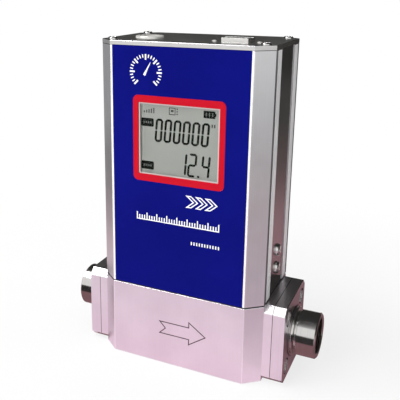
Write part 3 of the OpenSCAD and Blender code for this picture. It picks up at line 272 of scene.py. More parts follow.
def circuit_board(name):
    """Green solder mask over a lattice of tracks, which a brick pattern raises and lightens."""
    made, tree, shader, place = start_material(name)
    turned = add(tree, "ShaderNodeMapping", {"Vector": place, "Rotation": (math.pi / 2, 0, 0)}).outputs[0]
    tracks = add(tree, "ShaderNodeTexBrick", {"Vector": turned, "Scale": 120.0, "Mortar Size": 0.06,
        "Mortar Smooth": 0.3, "Brick Width": 0.9, "Row Height": 0.28}).outputs["Fac"]
    set_inputs(tree, shader, {
        "Base Color": colour_between(tree, (0.012, 0.16, 0.06), (0.05, 0.30, 0.12), tracks),
        "Roughness": use(tree, "mottling", place, Clouds=90.0, Low=0.25, High=0.4),
        "Normal": bump(tree, tracks, 0.5, 0.03)})
    return made


def ribbed_cable(name, colour, dark):
    """Flat cable: parallel wires show as ridges across its width."""
    made, tree, shader, place = start_material(name)
    ridge = add(tree, "ShaderNodeTexWave", {"Vector": place, "Scale": 125.0, "Distortion": 0.0},
        wave_type="BANDS", bands_direction="X").outputs["Fac"]
    set_inputs(tree, shader, {
        "Base Color": colour_between(tree, dark, colour, ridge),
        "Roughness": use(tree, "mottling", place, Clouds=80.0, Low=0.4, High=0.55),
        "Normal": bump(tree, ridge, 0.6, 0.15)})
    return made


POLISHED = {"streaks": (900, 900, 900), "streak_depth": 0.002}
FINISH = {
    "block": metal("block_aluminium", (0.84, 0.8, 0.83), (0.72, 0.68, 0.71), (0.3, 0.38),
        streaks=(1500, 1500, 60), streak_depth=0.004),
    "plate": metal("end_plate_aluminium", (0.84, 0.8, 0.83), (0.66, 0.62, 0.65), (0.29, 0.36),
        streaks=(2400, 2400, 16), streak_depth=0.007, streak_shade=0.6),
    "cover": metal("cover_aluminium", (0.8, 0.8, 0.81), (0.62, 0.62, 0.63), (0.285, 0.36),
        streaks=(2200, 2200, 12), streak_depth=0.008, streak_shade=0.55),
    # A near-white, almost non-metallic copy of the cover's aluminium for its outer side faces: painted light
    # that makes them look brightly lit
    "side_painted_light": metal("cover_flank_painted_light", (0.92, 0.91, 0.92), (0.86, 0.85, 0.86), (0.3, 0.4),
        streaks=(2200, 2200, 12), metallic=0.05),
    "panel": metal("panel_aluminium", (0.6, 0.57, 0.58), (0.46, 0.43, 0.44), (0.18, 0.235),
        streaks=(2600, 2600, 14), streak_shade=0.5),
    # Near-black for the cut-off edges where parts meet: painted shadow of the joints, not a colour of the
    # metal
    "seam": metal("seam_painted_shadow", (0.05, 0.05, 0.05), (0.03, 0.03, 0.03), (0.5, 0.7)),
    "top": metal("top_plate_aluminium", (0.74, 0.73, 0.72), (0.6, 0.59, 0.58), (0.285, 0.34),
        streaks=(30, 2400, 2400), streak_shade=0.5),
    "edge": metal("worn_edge_aluminium", (0.95, 0.94, 0.95), (0.88, 0.87, 0.88), (0.14, 0.22), **POLISHED),
    "engraved": metal("engraved_line", (0.3, 0.24, 0.25), (0.2, 0.16, 0.17), (0.45, 0.6)),
    "nipple": turned_metal("nipple_steel", (0.74, 0.73, 0.71), (0.56, 0.54, 0.53), (0.14, 0.2)),
    "screw": metal("screw_steel", (0.8, 0.79, 0.78), (0.62, 0.61, 0.6), (0.14, 0.24),
        streaks=(1800, 1800, 1800), clouds=300.0),
    "dark_screw": metal("sunk_screw_steel", (0.7, 0.68, 0.68), (0.5, 0.48, 0.48), (0.14, 0.24),
        streaks=(1800, 1800, 1800), clouds=300.0, metallic=0.2),
    "sunk_hole": metal("sunk_hole_aluminium", (0.97, 0.95, 0.96), (0.88, 0.86, 0.87), (0.12, 0.18),
        streaks=(40, 1800, 1800), streak_depth=0.003),
    "inner_steel": metal("inner_steel", (0.66, 0.66, 0.67), (0.52, 0.52, 0.53), (0.285, 0.36)),
    "probe": metal("probe_steel", (0.76, 0.73, 0.68), (0.62, 0.59, 0.55), (0.12, 0.2),
        streaks=(3000, 3000, 60)),
    "rubber": moulded("seal_rubber", (0.022, 0.022, 0.024), (0.01, 0.01, 0.011), (0.55, 0.75)),
    "label": moulded("blue_label_film", (0.003, 0.0052, 0.182), (0.0024, 0.004, 0.146), (0.4, 0.52),
        grain=2600.0, depth=0.01, specular=0.02, clouds=16.0, specks=0.03),
    "white_ink": moulded("white_ink", (0.92, 0.92, 0.93), (0.86, 0.86, 0.88), (0.45, 0.55),
        grain=3000.0, depth=0.006, specular=0.2),
    "red": moulded("red_frame_film", (0.55, 0.005, 0.02), (0.48, 0.004, 0.016), (0.38, 0.48),
        grain=2600.0, depth=0.01, specular=0.06, clouds=20.0, specks=0.03),
    "core": moulded("film_cut_edge", (0.62, 0.56, 0.55), (0.54, 0.48, 0.47), (0.5, 0.6), specular=0.2),
    "window": clear_window("clear_polycarbonate"),
    "cell": display_glass("display_glass"),
    "segment": moulded("display_segment", (0.006, 0.008, 0.006), (0.003, 0.004, 0.003), (0.4, 0.5),
        specular=0.05, specks=0.0),
    "faint_segment": moulded("display_faint_segment", (0.075, 0.08, 0.075), (0.055, 0.06, 0.055), (0.3, 0.4),
        specular=0.1, specks=0.0),
    "pale_segment": moulded("display_pale_segment", (0.16, 0.17, 0.16), (0.12, 0.13, 0.12), (0.3, 0.4),
        specular=0.1, specks=0.0),
    "diffuser": moulded("backlight_diffuser", (0.86, 0.86, 0.82), (0.8, 0.8, 0.76), (0.5, 0.6)),
    "board": circuit_board("circuit_board"),
    "brass": metal("turned_brass", (0.72, 0.53, 0.22), (0.58, 0.41, 0.16), (0.18, 0.24)),
    "chip": moulded("chip_black", (0.016, 0.016, 0.018), (0.009, 0.009, 0.01), (0.45, 0.6)),
    "can": metal("capacitor_can", (0.74, 0.74, 0.76), (0.62, 0.62, 0.64), (0.18, 0.24)),
    "cream": moulded("header_cream", (0.7, 0.64, 0.46), (0.62, 0.56, 0.4), (0.4, 0.5)),
    "black": moulded("moulded_black", (0.014, 0.014, 0.015), (0.008, 0.008, 0.009), (0.35, 0.5)),
    "sleeve": moulded("cell_sleeve", (0.02, 0.16, 0.05), (0.014, 0.11, 0.034), (0.29, 0.38), coat=0.4),
    "grey_cable": ribbed_cable("grey_ribbon_cable", (0.46, 0.46, 0.48), (0.26, 0.26, 0.28)),
    "red_cable": ribbed_cable("red_ribbon_cable", (0.34, 0.03, 0.025), (0.16, 0.015, 0.012)),
    "gold": metal("gold_flash", (0.9, 0.66, 0.26), (0.78, 0.54, 0.2), (0.14, 0.22)),
    "nickel": metal("nickel_plate", (0.82, 0.81, 0.79), (0.7, 0.69, 0.67), (0.12, 0.22), **POLISHED),
    "satin_nickel": metal("satin_nickel", (0.88, 0.87, 0.83), (0.78, 0.77, 0.74), (0.285, 0.36),
        **POLISHED, metallic=0.35),
}

# The nodes that keep their CAD mesh, by finish
NODE_FINISH = {
    "rubber": ["inlet_plate_seal", "outlet_plate_seal", "stem_seal", "base_gasket"],
    "inner_steel": ["inlet_screen", "outlet_screen", "flow_conditioner", "sensor_holder", "left_bracket",
        "right_bracket"],
    "dark_screw": ["holder_screws", "bracket_screws", "lcd_screws", "board_screws"],
    "probe": ["heater_probe", "reference_probe"],
    "window": ["display_window"],
    "cell": ["lcd_cell"],
    "diffuser": ["lcd_backlight", "lcd_bezel"],
    "board": ["lcd_board", "main_board", "sensor_board"],
    "brass": ["lcd_standoffs", "board_standoffs"],
    "chip": ["board_chips"],
    "can": ["board_capacitors"],
    "cream": ["board_headers"],
    "black": ["battery_holder", "socket_insert", "data_port_insert"],
    "sleeve": ["battery_cell"],
    "grey_cable": ["display_ribbon", "sensor_ribbon", "data_ribbon"],
    "red_cable": ["power_ribbon"],
    "gold": ["battery_contacts", "socket_contacts", "data_port_contacts"],
    "nickel": ["socket_nut", "data_port_screws"],
}


def finish_kept_nodes():
    for finish, names in NODE_FINISH.items():
        for name in names:
            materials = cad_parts[name].data.materials
            materials.clear()
            materials.append(FINISH[finish])


# Mesh helpers

# Points closer than this are one, and faces closer than this lie in one plane
TOUCH = 0.001 * MM
# Faces that meet at more than BEND have an edge between them; at less, down to FLAT, they are one curve
BEND = math.radians(25)
FLAT = math.radians(0.5)
# A mating edge is cut off if its faces meet at more than this and if it is longer than this
SEAM_BEND = math.radians(30)
SEAM_LEAST = 4 * MM
# How far from its axis the wall of a sunk hole for a plate screw may lie
BORE_REACH = 5.2 * MM
# Places of materials in a dressed node's list, after the main one at 0
# SEAM holds the painted shadow of the joints; SIDE holds the sides finish, painted light where it is given
EDGE, ENGRAVED, SEAM, SIDE, BORE = 1, 2, 3, 4, 5


def put(name, data):
    """A new object in the scene."""
    made = bpy.data.objects.new(name, data)
    bpy.context.scene.collection.objects.link(made)
    return made


def grid_faces(rows, columns, rows_close=False):
    """Quads between neighbouring points of a grid that is numbered row by row and closed along its rows."""
    row, column = np.meshgrid(np.arange(rows if rows_close else rows - 1), np.arange(columns), indexing="ij")
    next_row, next_column = (row + 1) % rows, (column + 1) % columns
    corners = (row * columns + column, row * columns + next_column,
        next_row * columns + next_column, next_row * columns + column)
    return np.stack(corners, -1).reshape(-1, 4)


def make_piece(name, points, faces, finish, slot, replaced=(), sharp=35.0):
    """One piece from points and lists of faces: doubles merged, normals outward, edges over sharp creased."""
    mesh = bpy.data.meshes.new(name)
    mesh.from_pydata(points.tolist(), [], [face for group in faces for face in group.tolist()])
    shape = bmesh.new()
    shape.from_mesh(mesh)
    bmesh.ops.remove_doubles(shape, verts=shape.verts[:], dist=TOUCH / 2)
    bmesh.ops.recalc_face_normals(shape, faces=shape.faces[:])
    shape.to_mesh(mesh)
    shape.free()
    mesh.polygons.foreach_set("use_smooth", np.ones(len(mesh.polygons), bool))
    mesh.set_sharp_from_angle(angle=math.radians(sharp))
    mesh.materials.append(FINISH[finish])
    piece = put(name, mesh)
    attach(piece, "root")
    if replaced:
        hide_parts(*replaced)


def welded(node):
    """A CAD node's shape with its doubles merged."""
    shape = bmesh.new()
    shape.from_mesh(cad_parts[node].data)
    bmesh.ops.remove_doubles(shape, verts=shape.verts[:], dist=TOUCH)
    return shape


def in_plane(edge, axis, place):
    """Whether both ends of an edge lie in a plane across an axis, or in its mirror image."""
    return all(abs(abs(vertex.co[axis]) - abs(place)) < 10 * TOUCH for vertex in edge.verts)


def in_cut(face, front, depth):
    """Whether a face's middle lies behind the foremost face by no more than a cut's depth."""
    return TOUCH < face.calc_center_median().y - front < depth * 1.01


def dressed(node, finish, edge_finish="edge", width=0.3, least=4.0, recede=0.0, engraved=0.0,
            seams=(), sides=None, bores=()):
    """A copy of a CAD node whose outer edges longer than least are rounded to a width, both in mm, the round
    strips in a finish of their own. recede moves the foremost face back, to leave room for a print on it.
    engraved is the depth of the dull lines cut into that face. seams are planes, as (axis, metres, mm), in
    which the node meets another: its edges there are cut off by so many mm and painted near-black, a painted
    shadow in the joint. sides is a lighter finish for the outer faces that look along X or Y, painted light
    on them. bores are the (y, z) of sunk holes along X."""
    shape = welded(node)
    bmesh.ops.dissolve_limit(shape, angle_limit=math.radians(0.4), verts=shape.verts[:],
        edges=shape.edges[:])
    front = min(vertex.co.y for vertex in shape.verts)
    for vertex in shape.verts:
        if vertex.co.y < front + TOUCH:
            vertex.co.y += recede
    for face in shape.faces:
        middle = face.calc_center_median()
        # Outer faces along X or Y take the sides finish, a lighter copy of the metal painted on as light
        if sides and any(abs(face.normal[axis]) > 0.99 and abs(middle[axis]) > TOP_HIGH[axis] - 0.1 * MM
                for axis in (0, 1)):
            face.material_index = SIDE
        if abs(face.normal.x) < 0.2 and any(math.hypot(middle.y - y, middle.z - z) < BORE_REACH
                for y, z in bores):
            face.material_index = BORE
    # Mating edges are cut off into a small groove whose faces are painted near-black as the joint's shadow
    for axis, place, seam in seams:
        mating = [edge for edge in shape.edges if in_plane(edge, axis, place) and edge.is_convex
            and edge.calc_face_angle(0) > SEAM_BEND and edge.calc_length() > SEAM_LEAST]
        bmesh.ops.bevel(shape, geom=mating, offset=seam * MM, segments=1, affect="EDGES", material=SEAM,
            clamp_overlap=True)
    weights = shape.edges.layers.float.new("bevel_weight_edge")
    for edge in shape.edges:
        bent = edge.calc_face_angle(0) > BEND \
            and all(face.material_index not in (SEAM, BORE) for face in edge.link_faces)
        edge.smooth = not bent
        edge[weights] = float(bent and edge.is_convex and edge.calc_length() > least * MM
            and not any(in_cut(face, front, engraved) for face in edge.link_faces))
    for face in shape.faces:
        face.smooth = any(FLAT < edge.calc_face_angle(0) < BEND for edge in face.edges)
        if in_cut(face, front, engraved) and not face.smooth:
            face.material_index = ENGRAVED
    mesh = bpy.data.meshes.new(node + "_finished")
    shape.to_mesh(mesh)
    shape.free()
    for name in (finish, edge_finish, "engraved", "seam", sides or finish, "sunk_hole"):
        mesh.materials.append(FINISH[name])
    piece = put(node + "_finished", mesh)
    if width:
        bevel = piece.modifiers.new("rounded_edges", "BEVEL")
        bevel.limit_method = "WEIGHT"
        bevel.width = width * MM
        bevel.segments = 3
        bevel.material = EDGE
        bevel.use_clamp_overlap = False
        bevel.harden_normals = True
    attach(piece, "root")
    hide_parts(node)


def parts_of(node):
    """The boxes of a node's separate solids, each as its lowest and highest corner."""
    shape = welded(node)
    left = set(shape.verts)
    boxes = []
    while left:
        open_ends = [left.pop()]
        found = []
        while open_ends:
            vertex = open_ends.pop()
            found.append(tuple(vertex.co))
            linked = {edge.other_vert(vertex) for edge in vertex.link_edges} & left
            left -= linked
            open_ends += linked
        boxes.append((np.min(found, 0), np.max(found, 0)))
    shape.free()
    return sorted(boxes, key=lambda box: tuple(np.round(box[0], 4)))


def smooth_step(value, low, high):
    """0 below low, 1 above high and an s-curve between."""
    share = np.clip((value - low) / (high - low), 0, 1)
    return share * share * (3 - 2 * share)


# Screws

SCREW_COLUMNS = 96
# Where the wall of a cross recess begins and ends, as shares of its size: beside an arm and at its end
CROSS_ASIDE = (0.13, 0.20)
CROSS_END = (0.32, 0.52)
# Where the wall of a hexagon recess begins and ends, from its flat outwards
HEX_WALL = (-0.03 * MM, 0.05 * MM)


def screw_surface(head_r, head_h, shank_r, length, key, key_size, key_depth):
    """A screw along Z with its head's seat at 0. Round the axis it is one closed surface: the head's top is
    a flat dome, its height times (1 - share of the radius to the 3.2) to the 1 / 2.6, minus the key's
    pocket; below it run the seat, the shank with fine rings and the tip."""
    turn = np.linspace(0, 2 * math.pi, SCREW_COLUMNS, endpoint=False)
    r, t = np.meshgrid(head_r * np.linspace(0, 1, 64) ** 0.9, turn, indexing="ij")
    x, y = r * np.cos(t), r * np.sin(t)
    dome = head_h * (1 - (r / head_r) ** 3.2) ** (1 / 2.6)
    if key == "cross":
        narrow = np.minimum(np.abs(x), np.abs(y)) / key_size
        wide = np.maximum(np.abs(x), np.abs(y)) / key_size
        pocket = (1 - smooth_step(narrow, *CROSS_ASIDE)) * (1 - smooth_step(wide, *CROSS_END))
    else:
        flat = np.max([np.abs(x * math.cos(a) + y * math.sin(a))
            for a in (0, math.pi / 3, 2 * math.pi / 3)], axis=0)
        pocket = 1 - smooth_step(flat - key_size / 2, *HEX_WALL)
    top = np.stack([x, y, dome - key_depth * pocket], -1)
    steps = np.linspace(0.02, 0.98, 60)
    ringed = shank_r * (1 - 0.03 * np.cos(steps * length / MM * 4 * math.pi) ** 2)
    path = np.concatenate([[[head_r, 0.0], [shank_r, 0.0]], np.stack([ringed, -length * steps], 1),
        [[shank_r * 0.8, -length], [0.0, -length]]])
    rest_r, rest_t = np.meshgrid(path[:, 0], turn, indexing="ij")
    rest = np.stack([rest_r * np.cos(rest_t), rest_r * np.sin(rest_t),
        np.repeat(path[:, 1:2], SCREW_COLUMNS, axis=1)], -1)
    points = np.concatenate([top, rest])
    return points.reshape(-1, 3), grid_faces(len(points), SCREW_COLUMNS)


def screws(node, axis, finish, key, head_r, head_h, shank_r, key_size, key_depth):
    """All the screws of a node along X or Z, each in the box of its own solid with its head away from the
    origin. Sizes are in mm."""
    shapes = []
    for low, high in parts_of(node):
        seat = (low + high) / 2
        sign = 1 if seat[axis] > 0 else -1
        made, faces = screw_surface(head_r * MM, head_h * MM, shank_r * MM,
            high[axis] - low[axis] - head_h * MM, key, key_size * MM, key_depth * MM)
        seat[axis] = (high if sign > 0 else low)[axis] - sign * head_h * MM
        if axis == 0:
            made = np.stack([made[:, 2] * sign, made[:, 0], made[:, 1] * sign], 1)
        shapes.append((made + seat, [faces]))
    make_piece(node + "_finished", *join(shapes), finish, "screw_steel", [node], sharp=40.0)


def all_screws():
    screws("side_screws", 0, "screw", "cross",
        head_r=3.6, head_h=2.0, shank_r=1.95, key_size=4.6, key_depth=1.2)
    screws("top_plate_screws", 2, "screw", "cross",
        head_r=2.8, head_h=1.2, shank_r=1.45, key_size=3.8, key_depth=0.8)
    for side in ("inlet", "outlet"):
        screws(side + "_plate_screws", 0, "dark_screw", "hex",
            head_r=4.25, head_h=3.5, shank_r=2.45, key_size=4.0, key_depth=2.0)


# Nipples, in mm: radii, lengths of collar and neck, how far the barrel's bevel reaches back from the mouth,
# where the collar's groove lies outside the plate, how deep the collar sits in the plate, and the thread
BORE_R = 10.5
BARREL_R = 13.22
COLLAR_R = 14.3
NECK_R = 12.1
SPIGOT_R = 12.0
COLLAR_LONG = 2.4
NECK_LONG = 1.6
BEVEL_LONG = 0.8
GROOVE_OUT = 0.9
COLLAR_SUNK = 0.95
THREAD_PITCH = 0.75
THREAD_DEPTH = 0.014
NIPPLE_COLUMNS = 144


def nipple_surface(low, high):
    """A closed ring surface round the flow's line, as along a lathe: up the bore, over the mouth, back along
    the threaded barrel, the neck and the collar to the spigot. On the barrel the radius falls by the
    thread's depth times (1 - cos) / 2 of the turns along it plus the turn round it, which winds a helix."""
    mouth = (high[0] - low[0]) / MM
    plate = (PLATE_HIGH[0] - low[0]) / MM
    collar = plate + COLLAR_LONG
    neck = collar + NECK_LONG
    tip = mouth - BEVEL_LONG
    groove = plate + GROOVE_OUT
    inner = [(0, BORE_R), (mouth - 0.7, BORE_R), (mouth - 0.1, BORE_R + 0.6), (mouth, BORE_R + 0.75),
        (mouth, BARREL_R - 0.95), (mouth - 0.1, BARREL_R - 0.8), (tip, BARREL_R - 0.05)]
    barrel = [(x, BARREL_R) for x in np.linspace(tip - 0.05, neck + 0.1, 200)]
    outer = [(neck, BARREL_R - 0.1), (neck, NECK_R + 0.2), (neck - 0.2, NECK_R), (collar + 0.2, NECK_R),
        (collar, NECK_R + 0.2), (collar, COLLAR_R - 0.25), (collar - 0.08, COLLAR_R - 0.07),
        (collar - 0.25, COLLAR_R), (groove + 0.35, COLLAR_R), (groove + 0.25, COLLAR_R - 0.1),
        (groove, COLLAR_R - 0.55), (groove - 0.25, COLLAR_R - 0.1), (groove - 0.35, COLLAR_R),
        (plate - COLLAR_SUNK, COLLAR_R), (plate - COLLAR_SUNK, SPIGOT_R), (0, SPIGOT_R)]
    path = np.array(inner + barrel + outer)
    turn = np.linspace(0, 2 * math.pi, NIPPLE_COLUMNS, endpoint=False)
    x, angle = np.meshgrid(path[:, 0], turn, indexing="ij")
    on_barrel = path[:, 1:2] == BARREL_R
    fade = smooth_step(tip - x, 0.0, 0.8) * smooth_step(x - neck, 0.2, 1.2)
    wave = (1 - np.cos(2 * math.pi * x / THREAD_PITCH - angle)) / 2
    radius = (path[:, 1:2] - on_barrel * fade * THREAD_DEPTH * wave) * MM
    points = np.stack([low[0] + x * MM, radius * np.cos(angle), FLOW_Z + radius * np.sin(angle)], -1)
    return points.reshape(-1, 3), grid_faces(len(path), NIPPLE_COLUMNS, rows_close=True)


def nipples():
    """The outlet's nipple and its mirror image at the inlet."""
    points, faces = nipple_surface(*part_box("outlet_nipple"))
    make_piece("outlet_nipple_finished", points, [faces], "nipple", "nipple_steel", ["outlet_nipple"], 40.0)
    make_piece("inlet_nipple_finished", points * np.array([-1, 1, 1]), [faces[:, ::-1]], "nipple",
        "nipple_steel", ["inlet_nipple"], 40.0)


# Prints on the label and the display. Their outlines are drawn in mm, in X and Z; depths are in metres.

def laid_out(loops, depths):
    """The points of outlines, an array of (count, loops, points, 2), with each loop at its depth along Y,
    and the numbers of these points."""
    loops = np.asarray(loops, float) * MM
    along = np.broadcast_to(np.array(depths)[None, :, None], loops.shape[:3])
    points = np.stack([loops[..., 0], along, loops[..., 1]], -1)
    return points.reshape(-1, 3), np.arange(along.size).reshape(along.shape)


def prisms(outlines, front, back):
    """Flat solids from outlines, an array of (count, points, 2), between two depths."""
    points, numbers = laid_out(np.stack([outlines, outlines], 1), (front, back))
    near, far = numbers[:, 0], numbers[:, 1]
    sides = np.stack([near, far, np.roll(far, -1, 1), np.roll(near, -1, 1)], -1).reshape(-1, 4)
    return points, [near, far[:, ::-1], sides]


def rings_between(outer, inner, front, back):
    """Flat frames between outer and inner outlines of equal size, both (count, points, 2)."""
    points, here = laid_out(np.stack([outer, inner, inner, outer], 1), (front, front, back, back))
    ahead = np.roll(here, -1, 1)
    faces = np.stack([here, np.roll(here, -1, 2), np.roll(ahead, -1, 2), ahead], -1).reshape(-1, 4)
    return points, [faces]


def join(shapes):
    """One set of points and faces from several."""
    points, faces, start = [], [], 0
    for made, groups in shapes:
        points.append(made)
        faces += [group + start for group in groups]
        start += len(made)
    return np.concatenate(points), faces


def round_box(x, z, w, h, r):
    """The outline of a rounded rectangle about (x, z): four arcs of six points, one a corner."""
    angle = np.linspace(0, math.pi / 2, 6)
    arcs = []
    for quarter, (sx, sz) in enumerate(((1, 1), (-1, 1), (-1, -1), (1, -1))):
        a = angle + quarter * math.pi / 2
        arcs.append(np.stack([x + sx * (w / 2 - r) + r * np.cos(a), z + sz * (h / 2 - r) + r * np.sin(a)], 1))
    return np.concatenate(arcs)


def round_boxes(rows):
    """Outlines of rounded rectangles from rows of (x, z, width, height, corner's radius)."""
    return [round_box(*row) for row in rows]


# Which of the seven bars each digit lights: top, upper and lower right, bottom, lower and upper left, middle
LIT = {"0": "abcdef", "1": "bc", "2": "abged", "4": "fgbc"}
# Each bar's middle as shares of the digit's half width and half height, and whether it stands upright
BAR_SHARES = {"a": (0, 1, False), "b": (1, 0.5, True), "c": (1, -0.5, True), "d": (0, -1, False),
    "e": (-1, -0.5, True), "f": (-1, 0.5, True), "g": (0, 0, False)}
# Half the gap between a digit's upper and lower bars, and how far a digit leans for its height
BAR_GAP = 0.16
BAR_SLANT = 0.075


def digit_bars(text, x, z, w, h, stroke, pitch=0.0):
    """Six-cornered bars of a row of seven-bar digits; x and z are the first digit's middle. Bars meet in
    points at the corners, and the upright ones leave a gap at mid height."""
    s = stroke / 2
    outlines = []
    for place, digit in enumerate(text):
        for bar in LIT[digit]:
            across, up, upright = BAR_SHARES[bar]
            cx, cz = across * (w - stroke) / 2, up * (h - stroke) / 2
            reach = (h - stroke) / 4 if upright else (w - stroke) / 2
            inner, blunt = (BAR_GAP - reach, 0.4 * s) if upright else (-reach, s)
            along = np.array([reach, reach - s, inner + blunt, inner, inner + blunt, reach - s])
            aside = np.array([0, s, s, 0, -s, -s])
            px, pz = (aside + cx, along * np.sign(up) + cz) if upright else (along + cx, aside + cz)
            outlines.append(np.stack([x + place * pitch + px + BAR_SLANT * pz, z + pz], 1))
    return outlines


# Marks of the display, as (x, z, width, height, corner's radius)
TABS = [(-19.0, 146.15, 7.8, 4.7, 0.8), (-18.9, 121.6, 7.8, 4.8, 0.8)]
POINT = (11.6, 118.6, 1.2, 1.2, 0.25)
MARKS_Z = 153.4
BATTERY_X = 17.3
BATTERY = [(BATTERY_X, MARKS_Z, 6.6, 4.0, 0.3), (20.8, MARKS_Z, 0.7, 1.8, 0.2)]
SIGN_X = -4.1


def display_ink():
    """The display's front film, which lies close behind the window, and what it shows: a row of zeros, a
    reading, a battery, two dark tabs and small marks."""
    back = WINDOW_HIGH[1] + 4 * INK
    front = back - INK
    film = round_box(0, RED_Z, RED_W - RED_SIDE, RED_H - RED_BAR, 0.5)
    make_piece("display_film", *prisms([film], back, CELL_LOW[1] - INK), "cell", "lcd_glass")
    figures = digit_bars("000000", -12.0, 142.15, 4.5, 13.2, 1.3, pitch=5.45)
    figures += digit_bars("12", 2.2, 124.6, 5.2, 13.4, 1.25, pitch=5.8)
    figures += digit_bars("4", 15.8, 124.6, 4.9, 13.4, 1.25)
    solid = round_boxes(TABS + [POINT] + BATTERY)
    make_piece("display_digits", *join([prisms(figures, front, back), prisms(solid, front, back)]),
        "segment", "lcd_glass")
    # Pale dashes on the dark tabs and the gaps of the battery's cells stand one more ink layer proud
    pale = [(tab[0] + step, tab[1], 0.7, 1.1, 0.12) for tab in TABS for step in (-2.1, -0.7, 0.7, 2.1)]
    pale += [(BATTERY_X + step, MARKS_Z, 0.5, 1.9, 0.1) for step in (-1.8, 0, 1.8)]
    make_piece("display_pale_marks", *prisms(round_boxes(pale), front - INK, front), "pale_segment",
        "lcd_glass")
    # A framed sign with three dots, a rising row of bars as of a signal, and two strokes
    small = [(SIGN_X, 153.6, 1.7, 1.3, 0.3)]
    small += [(-1.2, MARKS_Z + step, 0.8, 0.8, 0.15) for step in (-1.4, 0, 1.4)]
    small += [(-20.9 + 1.45 * step, 152.0 + 0.22 * step, 0.75, 1.2 + 0.44 * step, 0.12) for step in range(5)]
    small += [(19.0 + 1.4 * step, 147.4, 0.8, 1.9, 0.12) for step in range(2)]
    sign = rings_between([round_box(SIGN_X, MARKS_Z, 3.9, 4.1, 0.3)],
        [round_box(SIGN_X, MARKS_Z, 2.9, 3.1, 0.15)], front, back)
    make_piece("display_small_marks", *join([prisms(round_boxes(small), front, back), sign]),
        "faint_segment", "lcd_glass")


def chevron(x, z, w, h, arm):
    """A swallow-tailed arrowhead that points along +X, as an outline of six corners."""
    tail, tip, half = x - w / 2, x + w / 2, h / 2
    return np.array([(tail, z + half), (tail + arm, z + half), (tip, z), (tail + arm, z - half),
        (tail, z - half), (tip - arm, z)])


def drawn_in(outline, gap):
    """A clockwise outline moved inwards by gap: each corner goes to where its two shifted sides meet."""
    side = np.roll(outline, -1, 0) - outline
    side /= np.linalg.norm(side, axis=1)[:, None]
    after = np.stack([side[:, 1], -side[:, 0]], 1)
    middle = np.roll(after, 1, 0) + after
    return outline + gap * middle / np.sum(middle * after, axis=1)[:, None]


DIAL_CENTRE = (-19.2, 173.9)
DIAL_R = 9.6
NEEDLE = [(6.2, 0.1), (-2.0, 0.7), (-2.0, -0.7), (6.2, -0.1)]
NEEDLE_DEGREES = 62


def spoke(degrees, corners):
    """An outline about the dial's centre, from corners that are given along and across a direction."""
    angle = math.radians(degrees)
    along = np.array([math.cos(angle), math.sin(angle)])
    across = np.array([-math.sin(angle), math.cos(angle)])
    return [np.array(DIAL_CENTRE) + a * along + b * across for a, b in corners]


def label_ink():
    """White prints on the blue film: three chevrons, a plain scale, a short row of ticks and a dial."""
    front, back = LABEL_LOW[1], LABEL_LOW[1] + INK
    chevrons = [chevron(8.9 + 5.6 * step, 104.1, 7.6, 7.0, 3.4) for step in range(3)]
    hollow = [drawn_in(outline, 0.62) for outline in chevrons]
    ticks = []
    for step in range(33):
        tall = 3.9 if step % 4 == 0 else 2.3
        ticks.append((-24.7 + step * 49.5 / 32, 89.9 + tall / 2, 0.66, tall, 0.1))
    ticks.append((0.05, 89.6, 50.2, 0.6, 0.1))
    ticks += [(9.0 + step * 1.6, 80.0, 0.7, 1.9, 0.1) for step in range(11)]
    dial = []
    for step in range(25):
        tall, half = (3.0, 0.45) if step % 4 == 0 else (1.8, 0.3)
        foot = DIAL_R - tall
        dial.append(spoke(225 - step * 270 / 24,
            [(DIAL_R, half), (foot, half), (foot, -half), (DIAL_R, -half)]))
    dial.append(spoke(NEEDLE_DEGREES, NEEDLE))
    make_piece("label_prints", *join([prisms(round_boxes(ticks), front, back), prisms(dial, front, back),
        rings_between(chevrons, hollow, front, back)]), "white_ink", "label_film")


def window_edge():
    """The pale cut edge of the red film: a strip carried round the window's rounded opening."""
    inner_w = RED_W - 2 * RED_SIDE
    inner_h = RED_H - 2 * RED_BAR
    outer = round_box(0, RED_Z, inner_w, inner_h, 0.6)
    inner = round_box(0, RED_Z, inner_w - 1.7, inner_h - 1.5, 0.5)
    points, faces = rings_between([outer], [inner], WINDOW_LOW[1] - 3 * INK, WINDOW_LOW[1])
    make_piece("frame_cut_edge", points, faces, "core", "frame_film")


# Stage, in metres

# Light of the white room on things, as a share of what a camera sees of it
AMBIENT = 0.55
FLOOR_Z = -0.0002
FLOOR_HALF = 4
# The floor's own glow near the part, as a share of white; it rises to 1 away from it
FLOOR_GLOW = 0.76
# Direction of the open side of the dark cloth, in degrees from +X, its circle, its heights and its colour
ROOM_AZIMUTH = -78.0
WALL_R = 1.25
WALL_FOOT = 0.0003
WALL_LOW = 0.001
WALL_HIGH = 1.9
CLOTH = (0.035, 0.035, 0.033)
# Cards on the table: their height, how far they reach, where they part beside and in front of the block,
# the gap between two of them, and the back end of the one under the block
CARD_Z = 0.0004
CARD_END = 1.3
CARD_SIDE = 0.06
CARD_FRONT = -0.0237
CARD_GAP = 0.0001
CARD_BACK = 0.0311
# Cards at the nipples: their spans along X; the low ones' place along Y, their foot and how far the black
# ones reach below and above the flow's line; height, edges along Y and greys of the outlet's lid
OUTLET_SPAN = (0.0627, 0.0900)
INLET_SPAN = (-0.0980, -0.0640)
FLAG_Y = -0.0225
FLAG_FOOT = 0.0008
FLAG_BELOW = 0.0045
FLAG_ABOVE = 0.0060
LID_Z = 0.0455
LID_EDGES = (-0.0200, -0.0165, -0.0130, 0.0060)
LID_GREYS = (0.30, 0.12, 0.035)


def light_rays(tree):
    """1 for rays that the camera, a mirror or glass sends out, 0 for the light that falls on things."""
    path = tree.nodes.new("ShaderNodeLightPath").outputs
    seen = math_node(tree, "MAXIMUM", path["Is Camera Ray"], path["Is Glossy Ray"])
    return math_node(tree, "MAXIMUM", seen, path["Is Transmission Ray"])


